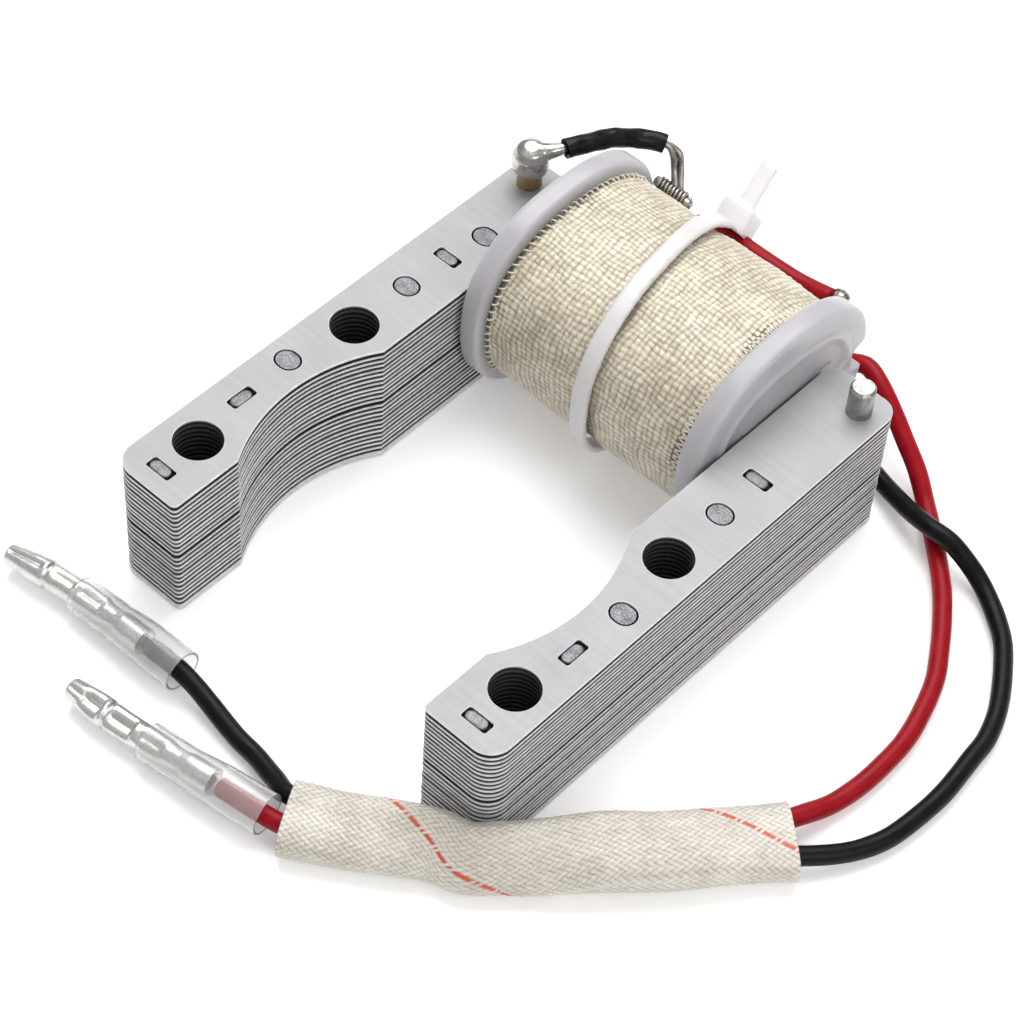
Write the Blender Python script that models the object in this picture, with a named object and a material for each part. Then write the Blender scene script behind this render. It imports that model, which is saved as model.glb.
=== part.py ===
"""Flywheel ignition coil of a small engine: laminated core, taped winding, and two leads with contacts.

X runs across the two legs, Y along them towards the winding, and Z up from the surface that the legs lie on.
The places written below are in millimetres from the centre of the flywheel's circle between the legs.
"""

import math

import bmesh
import bpy
import numpy as np

MM = 0.001

# The core: two legs of stacked sheets, joined by a crossbar in their upper half.
SHEET = 0.8
SHEETS_IN_PACK = 12
PACK = SHEET * SHEETS_IN_PACK
STACK = 2 * PACK
SEAM = 0.2
LEG_SPACING = 39.0
LEG_WIDTH = 10.5
LEG_LENGTH = 71.1
POLE_TO_FRONT = 22.2
POLE_RADIUS = LEG_SPACING / 2 + 3.4
FRONT_OUTER_RADIUS = 3.0
FRONT_INNER_RADIUS = 0.8
BACK_INNER_RADIUS = 2.0
BACK_OUTER_RADIUS = 2.5
CROSSBAR_WIDTH = 16.4
FIT = 0.3

# Holes through each leg, placed from its inner face and from the pole centre.
BOLT_DIAMETER = 6.0
BOLT_FROM_INNER = 5.5
BOLT_PLACES = (-13.2, 12.5)
RIVET_LENGTH = 3.1
RIVET_WIDTH = 2.6
RIVET_FIT = 0.2
JOINT_GAP = 0.5
RIVET_PLACES = {"front": (7.1, 2.9), "middle": (5.5, 21.5), "rear": (4.5, 34.4)}
INTERLOCK_LENGTH = 3.6
INTERLOCK_WIDTH = 1.6
INTERLOCKS_ACROSS = ((5.4, -19.1), (5.3, 28.5))
INTERLOCK_ALONG = (6.7, -5.05)
POST_DIAMETER = 3.2
POST_HEIGHT = 4.4
POST_FROM_INNER = 7.0
POST_FROM_BACK = 3.8
POST_CHAMFER = 0.3

# The bobbin on the crossbar, and what is wound on it.
FLANGE = 3.5
FLANGE_HALF_DEPTH = 16.4
FLANGE_HALF_HEIGHT = 14.3
FLANGE_SHAPE = 2.4
RIM_WIDTH = 3.3
RIM_STEP = 0.4
TUBE_WALL = 1.7
TUBE_SHAPE = 5.0
TAPE_HALF_DEPTH = 15.4
TAPE_HALF_HEIGHT = 12.8
TAPE_SHAPE = 2.3
TAPE_THICKNESS = 0.5
NOTCH_DEPTH = 2.4
NOTCH_HEIGHT = 4.6

# The cable tie round the winding, slanting as it goes back.
TIE_WIDTH = 2.5
TIE_THICKNESS = 1.0
TIE_FIT = 0.3
TIE_MIDDLE = -1.35
TIE_SLANT = -0.13
TIE_HEAD = (4.8, 5.0, 4.2)
TIE_HEAD_ANGLE = 32.0
TIE_TAIL = 10.5

# Leads, the woven sleeve over them and the bullet contacts on their ends.
LEAD_DIAMETER = 2.5
LEAD_STEP = 4.0
RING_STEP = 1.5
EARTH_WIRE_DIAMETER = 1.0
SLEEVING_DIAMETER = 2.6
SLEEVING_BORE = 1.6
JOINT_RADIUS = 1.1
EARTH_JOINT_WIDTH = 3.3
SLEEVE_WALL = 0.4
SLEEVE_SHAPE = 3.0
CONTACT_DIAMETER = 3.8
CONTACT_TIP = 2.4
CONTACT_NOSE = 6.0
CONTACT_LENGTH = 21.8
GROOVE_DIAMETER = 3.0
CRIMP_BORE = 1.9
CRIMP_DEPTH = 6.0
CONDUCTOR_DIAMETER = 1.3
VINYL_LENGTH = 17.0
VINYL_WALL = 0.3
VINYL_FIT = 0.2
VINYL_REAR_DIAMETER = 5.5

RED_ROUTE = (
    (12.6, 57.4, 18.7), (8.0, 57.5, 17.7), (4.0, 57.5, 17.4), (0.0, 57.5, 17.4), (-4.5, 57.5, 17.4),
    (-8.6, 57.7, 16.0), (-10.6, 57.7, 12.0), (-8.8, 56.7, 8.0), (-4.5, 55.8, 6.4), (0.0, 55.4, 6.2),
    (4.0, 55.4, 6.3), (8.0, 56.0, 6.7), (12.5, 57.9, 7.6), (16.0, 58.9, 8.6), (18.4, 59.2, 9.4),
    (21.2, 58.3, 9.0), (24.8, 57.0, 7.3), (27.5, 56.0, 5.6), (30.8, 54.7, 3.7), (33.7, 53.0, 1.8),
    (37.0, 50.3, 1.3), (40.4, 47.1, 1.3), (43.6, 43.8, 1.3), (46.4, 40.2, 1.3), (48.9, 36.5, 1.3),
    (51.2, 32.6, 1.3), (52.9, 27.9, 1.3), (54.0, 23.4, 1.3), (54.3, 19.0, 1.3), (54.2, 14.8, 1.3),
    (53.5, 10.4, 1.4), (52.3, 6.6, 2.1), (50.8, 3.0, 2.6), (49.2, 0.2, 2.5), (46.9, -3.4, 2.4),
    (43.9, -8.8, 2.2), (40.2, -14.5, 2.2), (35.7, -20.7, 2.5), (33.5, -23.2, 2.8), (30.7, -26.3, 2.9),
    (27.0, -27.5, 2.7), (23.4, -29.7, 2.6), (17.4, -33.0, 2.4), (12.2, -35.6, 2.4), (8.6, -36.6, 2.8),
    (5.6, -37.1, 2.95), (3.2, -37.4, 2.9),
)
BLACK_ROUTE = (
    (-13.2, 59.3, 14.0), (-13.0, 60.0, 11.0), (-11.8, 60.2, 7.0), (-9.0, 59.6, 3.6), (-5.0, 58.9, 1.6),
    (0.0, 58.4, 1.3), (5.0, 57.7, 1.3), (10.0, 56.8, 1.3), (15.0, 55.6, 1.3), (20.0, 54.2, 1.3),
    (27.6, 51.9, 1.5), (31.1, 50.6, 2.2), (34.2, 49.4, 3.1), (37.9, 48.3, 4.3), (40.9, 48.3, 4.2),
    (44.3, 48.1, 2.8), (47.4, 47.2, 1.7), (51.1, 44.9, 1.3), (54.3, 41.9, 1.3), (58.4, 35.8, 1.3),
    (60.5, 30.8, 1.3), (61.1, 26.5, 1.3), (61.7, 20.9, 1.3), (61.6, 16.4, 1.3), (61.0, 11.6, 1.3),
    (59.7, 7.9, 1.5), (57.9, 4.8, 1.9), (55.4, 1.7, 2.3), (52.7, -1.1, 2.6), (49.9, -4.7, 3.4),
    (45.1, -9.8, 4.85), (39.6, -13.9, 5.2), (34.4, -19.6, 5.1), (32.3, -22.2, 5.3), (29.6, -24.7, 5.2),
    (25.9, -25.5, 4.9), (22.0, -27.2, 4.1), (15.8, -30.3, 3.1), (9.8, -32.5, 2.6), (6.4, -31.8, 1.8),
    (2.3, -30.9, 1.3), (-0.4, -30.7, 1.3), (-3.3, -30.3, 1.5), (-6.2, -29.9, 2.0), (-8.9, -29.6, 2.5),
    (-12.0, -29.5, 2.95), (-16.8, -29.6, 2.85),
)
EARTH_ROUTE = (
    (-23.9, 47.4, 25.1), (-22.8, 50.2, 24.9), (-21.6, 54.3, 24.0), (-19.7, 58.0, 22.8), (-17.2, 60.1, 22.3),
    (-15.8, 60.7, 21.0), (-15.3, 60.3, 19.2), (-14.4, 59.5, 17.9),
)
SLEEVING_ENDS = (0.9, 15.0)

# The woven sleeve's stations: place, half width, half height, and its leg side's tip upwards in degrees.
SLEEVE_STATIONS = (
    (11.4, -34.9, 2.5, 5.3, 2.35, 4), (16.8, -31.9, 2.7, 4.7, 2.2, 10), (22.7, -28.4, 3.4, 4.4, 2.15, 28),
    (26.4, -26.4, 3.8, 4.2, 2.1, 45), (30.0, -25.4, 4.1, 4.2, 2.1, 50), (32.8, -22.6, 4.1, 4.2, 2.1, 50),
    (35.0, -20.1, 3.8, 4.3, 2.4, 40), (39.9, -14.2, 3.8, 4.5, 3.4, 15), (44.5, -9.3, 3.5, 4.5, 3.3, 5),
    (48.7, -3.8, 3.0, 4.7, 2.8, 0), (51.5, -0.1, 2.55, 5.0, 2.4, 0), (53.9, 2.7, 2.45, 5.5, 2.35, 0),
)
BLACK_CONTACT_LINE = ((-38.7, -31.7, 2.3), (-32.8, -30.6, 2.4), (-28.0, -30.0, 2.5), (-19.8, -29.7, 2.95),
                      (-10.0, -29.4, 3.0))
RED_CONTACT_LINE = ((-19.0, -39.6, 2.3), (-12.7, -39.3, 2.4), (-6.8, -38.6, 2.5), (0.5, -37.8, 2.95),
                    (10.6, -36.2, 3.0))
BLACK_VINYL_START = 10.9
RED_VINYL_START = 12.2

# The solder behind the winding: across, clear of the tape, and above the bobbin's axis.
EARTH_JOINT = (-13.1, 0.9, 2.05)
RED_JOINT = (14.0, -0.2, 5.45)
POST_TAIL = (2.6, 2.3, 0.3)

# Worked out from the sizes above.
inner_x = LEG_SPACING / 2
outer_x = inner_x + LEG_WIDTH
front_y = -POLE_TO_FRONT
back_y = front_y + LEG_LENGTH
crossbar_low = PACK + SEAM / 2
axis_y = back_y - CROSSBAR_WIDTH / 2
axis_z = (crossbar_low + STACK) / 2
bobbin_half = inner_x - FIT
winding_half = bobbin_half - FLANGE - FIT
post_y = back_y - POST_FROM_BACK
tube_half_depth = CROSSBAR_WIDTH / 2 + FIT + TUBE_WALL
tube_half_height = (STACK - crossbar_low) / 2 + FIT + TUBE_WALL


def material(name, color, roughness, metallic=0.0):
    made = bpy.data.materials.new(name)
    made.use_nodes = True
    shader = made.node_tree.nodes["Principled BSDF"]
    shader.inputs["Base Color"].default_value = (*color, 1.0)
    shader.inputs["Roughness"].default_value = roughness
    shader.inputs["Metallic"].default_value = metallic
    made.diffuse_color = (*color, 1.0)
    return made


def finish(name, bm, paint, smooth=True):
    """The mesh as an object under the root, its faces outward, in metres."""
    bmesh.ops.recalc_face_normals(bm, faces=bm.faces)
    bmesh.ops.scale(bm, vec=(MM, MM, MM), verts=bm.verts)
    mesh = bpy.data.meshes.new(name)
    bm.to_mesh(mesh)
    bm.free()
    made = bpy.data.objects.new(name, mesh)
    bpy.context.scene.collection.objects.link(made)
    if paint:
        mesh.materials.append(paint)
    if smooth:
        mesh.shade_smooth()
        mesh.set_sharp_from_angle(angle=math.radians(35))
    made.parent = root
    return made


def add_loft(bm, rings, closed=False):
    """A skin through rings of points, capped at both ends or joined into a loop."""
    loops = [[bm.verts.new(point) for point in ring] for ring in rings]
    pairs = list(zip(loops, loops[1:]))
    if closed:
        pairs.append((loops[-1], loops[0]))
    for first, second in pairs:
        for i in range(len(first)):
            bm.faces.new((first[i - 1], first[i], second[i], second[i - 1]))
    if not closed:
        bm.faces.new(loops[0])
        bm.faces.new(loops[-1])


def loft(name, rings, paint, closed=False):
    bm = bmesh.new()
    add_loft(bm, rings, closed)
    return finish(name, bm, paint)


def helper(made):
    """Marks an object as one that only shapes another."""
    made.hide_render = True
    made.display_type = "WIRE"
    return made


def combine(made, other, operation):
    modifier = made.modifiers.new(other.name, "BOOLEAN")
    modifier.operation = operation
    modifier.object = other


def at_height(outline, z):
    return [(x, y, z) for x, y in outline]


def arc(center, radius, start, stop, count):
    """Points along an arc, its angles in degrees."""
    angles = np.radians(np.linspace(start, stop, count))
    return [(center[0] + radius * math.cos(a), center[1] + radius * math.sin(a)) for a in angles]


def box_outline(center, size):
    x, y = center
    half_x, half_y = size[0] / 2, size[1] / 2
    corners = ((-half_x, -half_y), (half_x, -half_y), (half_x, half_y), (-half_x, half_y))
    return [(x + across, y + along) for across, along in corners]


def slot_outline(center, length, width):
    """A slot with round ends, long along X."""
    x, y = center
    reach = (length - width) / 2
    return arc((x + reach, y), width / 2, -90, 90, 9) + arc((x - reach, y), width / 2, 90, 270, 9)


def oval(half_y, half_z, shape, count=48):
    """Points (y, z) of a superellipse about the bobbin's axis."""
    points = []
    for angle in np.linspace(0, math.tau, count, endpoint=False):
        c, s = math.cos(angle), math.sin(angle)
        y = axis_y + half_y * math.copysign(abs(c) ** (2 / shape), c)
        z = axis_z + half_z * math.copysign(abs(s) ** (2 / shape), s)
        points.append((y, z))
    return points


def at_x(outline, x):
    return [(x, y, z) for y, z in outline]


def smooth_rows(rows, step):
    """Rows at even steps along a Catmull-Rom curve through these rows, which start with a place."""
    rows = np.array(rows, float)
    ends = np.vstack([2 * rows[0] - rows[1], rows, 2 * rows[-1] - rows[-2]])
    share = np.linspace(0, 1, 12, endpoint=False)[:, None]
    pieces = []
    for before, start, stop, after in zip(ends, ends[1:], ends[2:], ends[3:]):
        slope = stop - before
        bend = 2 * before - 5 * start + 4 * stop - after
        twist = 3 * start - before - 3 * stop + after
        pieces.append(start + share / 2 * (slope + share * (bend + share * twist)))
    dense = np.vstack([*pieces, rows[-1:]])
    lengths = np.linalg.norm(np.diff(dense[:, :3], axis=0), axis=1)
    travelled = np.append(0, np.cumsum(lengths))
    marks = np.linspace(0, travelled[-1], math.ceil(travelled[-1] / step) + 1)
    return np.column_stack([np.interp(marks, travelled, column) for column in dense.T])


def round_section(line, distance, radius, sides=16):
    """A circle about a line at this distance along it."""
    steps = np.linalg.norm(np.diff(line, axis=0), axis=1)
    travelled = np.append(0, np.cumsum(steps))
    heading = np.gradient(line, axis=0)
    place = np.array([np.interp(distance, travelled, column) for column in line.T])
    ahead = np.array([np.interp(distance, travelled, column) for column in heading.T])
    ahead /= np.linalg.norm(ahead)
    aside = np.cross(ahead, (0.0, 0.0, 1.0))
    aside /= np.linalg.norm(aside)
    over = np.cross(aside, ahead)
    turns = np.linspace(0, math.tau, sides, endpoint=False)
    return [place + radius * (math.cos(a) * aside + math.sin(a) * over) for a in turns]


def turned_along(name, line, profile, paint, closed=False):
    """A round piece on a curved line, from (distance, radius) pairs."""
    line = smooth_rows(line, 0.5)
    stations = profile[:1]
    for start, stop in zip(profile, profile[1:]):
        count = max(2, math.ceil(abs(stop[0] - start[0]) / RING_STEP) + 1)
        stations += [tuple(station) for station in np.linspace(start, stop, count)[1:]]
    rings = [round_section(line, distance, radius) for distance, radius in stations]
    return loft(name, rings, paint, closed)


def upright(center, profile, sides=20):
    """Rings about a vertical axis, from (radius, height) pairs."""
    return [at_height(arc(center, radius, 0, 360 - 360 / sides, sides), z) for radius, z in profile]


def leg_outline(side):
    """A leg seen from above, with the flywheel's arc in its inner face."""
    reach = math.sqrt(POLE_RADIUS**2 - inner_x**2)
    swing = math.degrees(math.asin(reach / POLE_RADIUS))
    right = arc((outer_x - FRONT_OUTER_RADIUS, front_y + FRONT_OUTER_RADIUS), FRONT_OUTER_RADIUS, -90, 0, 8)
    right += arc((outer_x - BACK_OUTER_RADIUS, back_y - BACK_OUTER_RADIUS), BACK_OUTER_RADIUS, 0, 90, 8)
    right += arc((inner_x + BACK_INNER_RADIUS, back_y - BACK_INNER_RADIUS), BACK_INNER_RADIUS, 90, 180, 7)
    right += arc((0, 0), POLE_RADIUS, swing, -swing, 24)
    front_corner = (inner_x + FRONT_INNER_RADIUS, front_y + FRONT_INNER_RADIUS)
    right += arc(front_corner, FRONT_INNER_RADIUS, 180, 270, 4)
    return [(side * x, y) for x, y in right]


def add_hole(bm, outline, low, high):
    add_loft(bm, [at_height(outline, low), at_height(outline, high)])


def rivets_in(side):
    """The rivets of one leg by place. Only the left leg has one at the rear, beside the bobbin."""
    return {place: spot for place, spot in RIVET_PLACES.items() if side < 0 or place != "rear"}


def leg_cutter(name, side):
    """Every hole in one leg: bolts and rivets go through, the post half way, interlocks in the top sheet."""
    bm = bmesh.new()
    through = (-1.0, STACK + 1.0)
    for y in BOLT_PLACES:
        center = (side * (inner_x + BOLT_FROM_INNER), y)
        add_hole(bm, arc(center, BOLT_DIAMETER / 2, 0, 350, 36), *through)
    for from_inner, y in rivets_in(side).values():
        center = (side * (inner_x + from_inner), y)
        window = (RIVET_LENGTH + 2 * RIVET_FIT, RIVET_WIDTH + 2 * RIVET_FIT)
        add_hole(bm, slot_outline(center, *window), *through)
    post = (side * (inner_x + POST_FROM_INNER), post_y)
    add_hole(bm, arc(post, POST_DIAMETER / 2 + RIVET_FIT, 0, 345, 24), PACK, STACK + 1.0)
    windows = [(place, (INTERLOCK_LENGTH, INTERLOCK_WIDTH)) for place in INTERLOCKS_ACROSS]
    windows.append((INTERLOCK_ALONG, (INTERLOCK_WIDTH, INTERLOCK_LENGTH)))
    for (from_inner, y), size in windows:
        outline = box_outline((side * (inner_x + from_inner), y), size)
        add_hole(bm, outline, STACK - SHEET, STACK + 1.0)
    return helper(finish(name, bm, None, smooth=False))


def leg(side_name, side):
    """One leg as two packs and a top sheet, with its rivets and its solder post."""
    outline = leg_outline(side)
    cutter = leg_cutter(f"{side_name}_leg_holes", side)
    levels = {
        "lower_pack": (0.0, PACK - SEAM / 2),
        "upper_pack": (PACK + SEAM / 2, STACK - SHEET - SEAM / 2),
        "top_sheet": (STACK - SHEET + SEAM / 2, STACK),
    }
    for piece, (low, high) in levels.items():
        rings = [at_height(outline, low), at_height(outline, high)]
        combine(loft(f"{side_name}_leg_{piece}", rings, steel), cutter, "DIFFERENCE")
    for place, (from_inner, y) in rivets_in(side).items():
        rivet = slot_outline((side * (inner_x + from_inner), y), RIVET_LENGTH, RIVET_WIDTH)
        rings = [at_height(rivet, SEAM / 2), at_height(rivet, STACK - SEAM / 2)]
        loft(f"{side_name}_leg_{place}_rivet", rings, rivet_steel)
    post = (side * (inner_x + POST_FROM_INNER), post_y)
    radius = POST_DIAMETER / 2
    top = STACK + POST_HEIGHT
    profile = [(radius, PACK + SEAM), (radius, top - POST_CHAMFER), (radius - POST_CHAMFER, top)]
    loft(f"{side_name}_solder_post", upright(post, profile), brass)


def crossbar():
    length = LEG_SPACING - 2 * FIT
    outline = box_outline((0, axis_y), (length, CROSSBAR_WIDTH))
    loft("crossbar_laminations", [at_height(outline, crossbar_low), at_height(outline, STACK)], steel)


def bobbin():
    """Two flanges on one tube, bored for the crossbar, with the wire slots in the flanges' back edges."""
    flange = oval(FLANGE_HALF_DEPTH, FLANGE_HALF_HEIGHT, FLANGE_SHAPE)
    raised = oval(FLANGE_HALF_DEPTH - RIM_WIDTH, FLANGE_HALF_HEIGHT - RIM_WIDTH, FLANGE_SHAPE)
    tube = oval(tube_half_depth, tube_half_height, TUBE_SHAPE)
    cheek = bobbin_half - FLANGE
    rim = bobbin_half - RIM_STEP
    right_half = [(tube, cheek), (flange, cheek), (flange, rim), (raised, rim), (raised, bobbin_half)]
    left_half = [(outline, -x) for outline, x in reversed(right_half)]
    made = loft("bobbin", [at_x(outline, x) for outline, x in left_half + right_half], nylon)
    bm = bmesh.new()
    bore = box_outline((0, axis_y), (LEG_SPACING, CROSSBAR_WIDTH + 2 * FIT))
    add_hole(bm, bore, crossbar_low - FIT, STACK + FIT)
    notch_y = axis_y + FLANGE_HALF_DEPTH
    notch = box_outline((inner_x - FLANGE / 2, notch_y), (2 * FLANGE, 2 * NOTCH_DEPTH))
    add_hole(bm, notch, axis_z - NOTCH_HEIGHT / 2, axis_z + NOTCH_HEIGHT / 2)
    combine(made, helper(finish("bobbin_holes", bm, None, smooth=False)), "DIFFERENCE")


def wrap(name, inner, outer, paint):
    """A layer round the bobbin's tube between the flanges, open at both ends."""
    ends = ((outer, -1), (outer, 1), (inner, 1), (inner, -1))
    loft(name, [at_x(outline, end * winding_half) for outline, end in ends], paint, closed=True)


def winding_and_tape():
    under = TAPE_THICKNESS + FIT
    core = oval(tube_half_depth + FIT, tube_half_height + FIT, TUBE_SHAPE)
    coil = oval(TAPE_HALF_DEPTH - under, TAPE_HALF_HEIGHT - under, TAPE_SHAPE)
    wrap("enamelled_winding", core, coil, enamel)
    inside = oval(TAPE_HALF_DEPTH - TAPE_THICKNESS, TAPE_HALF_HEIGHT - TAPE_THICKNESS, TAPE_SHAPE)
    outside = oval(TAPE_HALF_DEPTH, TAPE_HALF_HEIGHT, TAPE_SHAPE)
    wrap("glass_cloth_tape", inside, outside, cloth)


def tie_hull(direction):
    """The outermost point (y, z) this way of the taped winding and of the red lead's two runs behind it."""
    reach = abs(TIE_MIDDLE) + TIE_WIDTH
    shape = oval(TAPE_HALF_DEPTH, TAPE_HALF_HEIGHT, TAPE_SHAPE, 144)
    for x, y, z in smooth_rows(RED_ROUTE, 1.0):
        if y > axis_y and abs(x - tie_x(y)) < reach:
            shape.append((y + LEAD_DIAMETER / 2 * direction[0], z + LEAD_DIAMETER / 2 * direction[1]))
    return np.array(max(shape, key=lambda point: np.dot(point, direction)))


def tie_x(y):
    return TIE_MIDDLE + TIE_SLANT * (y - axis_y)


def slab(bm, places, half, thick_way):
    """A strip of the tie's thickness through these (y, z) places, half as wide as given on each side."""
    rings = []
    for place in places:
        for_way = np.array([0.0, *thick_way]) * TIE_THICKNESS / 2
        middle = np.array([tie_x(place[0]), *place])
        corners = ((-half, -1), (half, -1), (half, 1), (-half, 1))
        rings.append([middle + np.array([x, 0, 0]) + sign * for_way for x, sign in corners])
    add_loft(bm, rings)


def cable_tie():
    """The strap, with its head at the top of the back and its cut end standing out of the head."""
    rings = []
    for angle in np.linspace(0, math.tau, 60, endpoint=False):
        way = np.array([math.cos(angle), math.sin(angle)])
        inner = tie_hull(way) + TIE_FIT * way
        outer = inner + TIE_THICKNESS * way
        rings.append(
            [
                (tie_x(place[0]) + side * TIE_WIDTH / 2, *place)
                for side, place in ((-1, inner), (1, inner), (1, outer), (-1, outer))
            ]
        )
    made = loft("cable_tie", rings, nylon, closed=True)

    angle = math.radians(TIE_HEAD_ANGLE)
    out = np.array([math.cos(angle), math.sin(angle)])
    along = np.array([-out[1], out[0]])
    seat = tie_hull(out) + (TIE_FIT + TIE_THICKNESS / 4) * out
    width, length, height = TIE_HEAD
    bm = bmesh.new()
    rings = []
    for up in (0.0, height):
        corners = ((-1, -1), (1, -1), (1, 1), (-1, 1))
        places = [(side, seat + up * out + end * length / 2 * along) for side, end in corners]
        rings.append([(tie_x(place[0]) + side * width / 2, *place) for side, place in places])
    add_loft(bm, rings)
    head = helper(finish("tie_head", bm, None, smooth=False))
    combine(made, head, "UNION")

    bm = bmesh.new()
    slab(bm, [seat + height / 2 * out, seat + TIE_TAIL * out], TIE_WIDTH / 2, along)
    tail = helper(finish("tie_tail", bm, None, smooth=False))
    combine(made, tail, "UNION")


def tube_curve(name, route, diameter, paint):
    """A round lead along a route, as a curve with a bevel."""
    curve = bpy.data.curves.new(name, "CURVE")
    curve.dimensions = "3D"
    curve.bevel_depth = diameter / 2 * MM
    curve.bevel_resolution = 2
    curve.use_fill_caps = True
    curve.materials.append(paint)
    points = smooth_rows(route, LEAD_STEP) * MM
    spline = curve.splines.new("POLY")
    spline.points.add(len(points) - 1)
    for spot, point in zip(spline.points, points):
        spot.co = (*point, 1.0)
    made = bpy.data.objects.new(name, curve)
    bpy.context.scene.collection.objects.link(made)
    made.parent = root
    return made


def earth_wire():
    """The tinned wire from the left post, its black sleeving, and the solder at both of its ends."""
    line = smooth_rows(EARTH_ROUTE, 0.5)
    length = np.linalg.norm(np.diff(line, axis=0), axis=1).sum()
    turned_along("earth_wire", EARTH_ROUTE, [(mark, EARTH_WIRE_DIAMETER / 2) for mark in (0.0, length)], tin)
    skin = [(mark, SLEEVING_DIAMETER / 2) for mark in SLEEVING_ENDS]
    bore = [(mark, SLEEVING_BORE / 2) for mark in reversed(SLEEVING_ENDS)]
    turned_along("earth_wire_sleeving", EARTH_ROUTE, skin + bore, black_plastic, closed=True)

    post = (-(inner_x + POST_FROM_INNER), post_y)
    hollow = POST_DIAMETER / 2 + RIVET_FIT
    top = STACK + POST_HEIGHT
    profile = [(hollow, top + RIVET_FIT), (hollow, top - 1.9), (hollow + 0.4, top - 1.9)]
    profile += [(hollow + 0.7, top - 0.8), (hollow + 0.6, top + 0.6)]
    profile += [(hollow, top + 1.7), (hollow / 2, top + 2.2)]
    made = loft("left_post_solder", upright(post, profile), solder)
    center = np.array([*post, top + 1.2])
    target = center + np.array(POST_TAIL)
    reach = np.linalg.norm(target - center) - JOINT_GAP
    bm = bmesh.new()
    line = np.array([center, center + (target - center) / 2, target])
    add_loft(bm, [round_section(line, 0.0, 0.95), round_section(line, reach, 0.8)])
    combine(made, helper(finish("left_post_solder_tail", bm, None)), "UNION")


def solder_drop(name, place, width):
    """A drop of solder just behind the tape, on the joint of a lead."""
    across, clear, above = place
    center = (across, axis_y + TAPE_HALF_DEPTH + JOINT_RADIUS + clear, axis_z + above)
    bm = bmesh.new()
    bmesh.ops.create_uvsphere(bm, u_segments=16, v_segments=10, radius=1.0)
    bmesh.ops.scale(bm, vec=(width / 2, JOINT_RADIUS, JOINT_RADIUS), verts=bm.verts)
    bmesh.ops.translate(bm, vec=center, verts=bm.verts)
    finish(name, bm, solder)


def braided_sleeve():
    """The flat woven sleeve over both leads, open at both ends."""
    rows = smooth_rows(SLEEVE_STATIONS, 1.8)
    heading = np.gradient(rows[:, :3], axis=0)
    skin, lining = [], []
    for row, ahead in zip(rows, heading):
        level = np.array([-ahead[1], ahead[0], 0.0]) / np.hypot(ahead[0], ahead[1])
        tip = math.radians(row[5])
        across = level * math.cos(tip) + np.array([0, 0, math.sin(tip)])
        over = np.array([0, 0, math.cos(tip)]) - level * math.sin(tip)
        for rings, inset in ((skin, 0.0), (lining, SLEEVE_WALL)):
            ring = []
            for angle in np.linspace(0, math.tau, 24, endpoint=False):
                c, s = math.cos(angle), math.sin(angle)
                wide = (row[3] - inset) * math.copysign(abs(c) ** (2 / SLEEVE_SHAPE), c)
                high = (row[4] - inset) * math.copysign(abs(s) ** (2 / SLEEVE_SHAPE), s)
                ring.append(row[:3] + wide * across + high * over)
            rings.append(ring)
    loft("braided_sleeve", skin + lining[::-1], glass_braid, closed=True)


def bullet_contact(color, line, vinyl_start):
    """A bullet contact crimped on a bared wire end, and the vinyl sleeve over its crimp."""
    barrel, groove = CONTACT_DIAMETER / 2, GROOVE_DIAMETER / 2
    floor = CONTACT_LENGTH - CRIMP_DEPTH
    profile = [(0.0, CONTACT_TIP / 2 - 0.3), (0.4, CONTACT_TIP / 2), (CONTACT_NOSE - 0.6, barrel)]
    profile += [(CONTACT_NOSE, groove), (CONTACT_NOSE + 0.6, barrel), (CONTACT_LENGTH, barrel)]
    profile += [(CONTACT_LENGTH, CRIMP_BORE / 2), (floor, CRIMP_BORE / 2)]
    turned_along(f"{color}_lead_bullet_contact", line, profile, tin)
    ends = (floor + FIT, CONTACT_LENGTH)
    turned_along(f"{color}_lead_bared_end", line, [(end, CONDUCTOR_DIAMETER / 2) for end in ends], tin)

    front = barrel + VINYL_FIT
    rear = VINYL_REAR_DIAMETER / 2 - VINYL_WALL
    bores = [(0.0, front), (0.25, front + 0.05), (0.5, rear - 0.05), (1.0, rear)]
    inside = [(vinyl_start + share * VINYL_LENGTH, radius) for share, radius in bores]
    outside = [(distance, radius + VINYL_WALL) for distance, radius in inside]
    turned_along(f"{color}_lead_vinyl_sleeve", line, outside + inside[::-1], vinyl, closed=True)


def on_the_leads(name):
    return name.startswith(("red_lead", "black_lead")) or name == "braided_sleeve"


def stand_at_origin():
    """Moves the root so that the coil, without its leads, stands on the origin."""
    bpy.context.view_layer.update()
    corners = []
    graph = bpy.context.evaluated_depsgraph_get()
    for made in root.children:
        if made.hide_render or on_the_leads(made.name):
            continue
        shape = made.evaluated_get(graph)
        corners += [shape.matrix_world @ vertex.co for vertex in shape.data.vertices]
    corners = np.array(corners)
    low, high = corners.min(axis=0), corners.max(axis=0)
    root.location = (-(low[0] + high[0]) / 2, -(low[1] + high[1]) / 2, -low[2])


for old in list(bpy.data.objects):
    bpy.data.objects.remove(old)
root = bpy.data.objects.new("ignition_coil", None)
bpy.context.scene.collection.objects.link(root)

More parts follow.
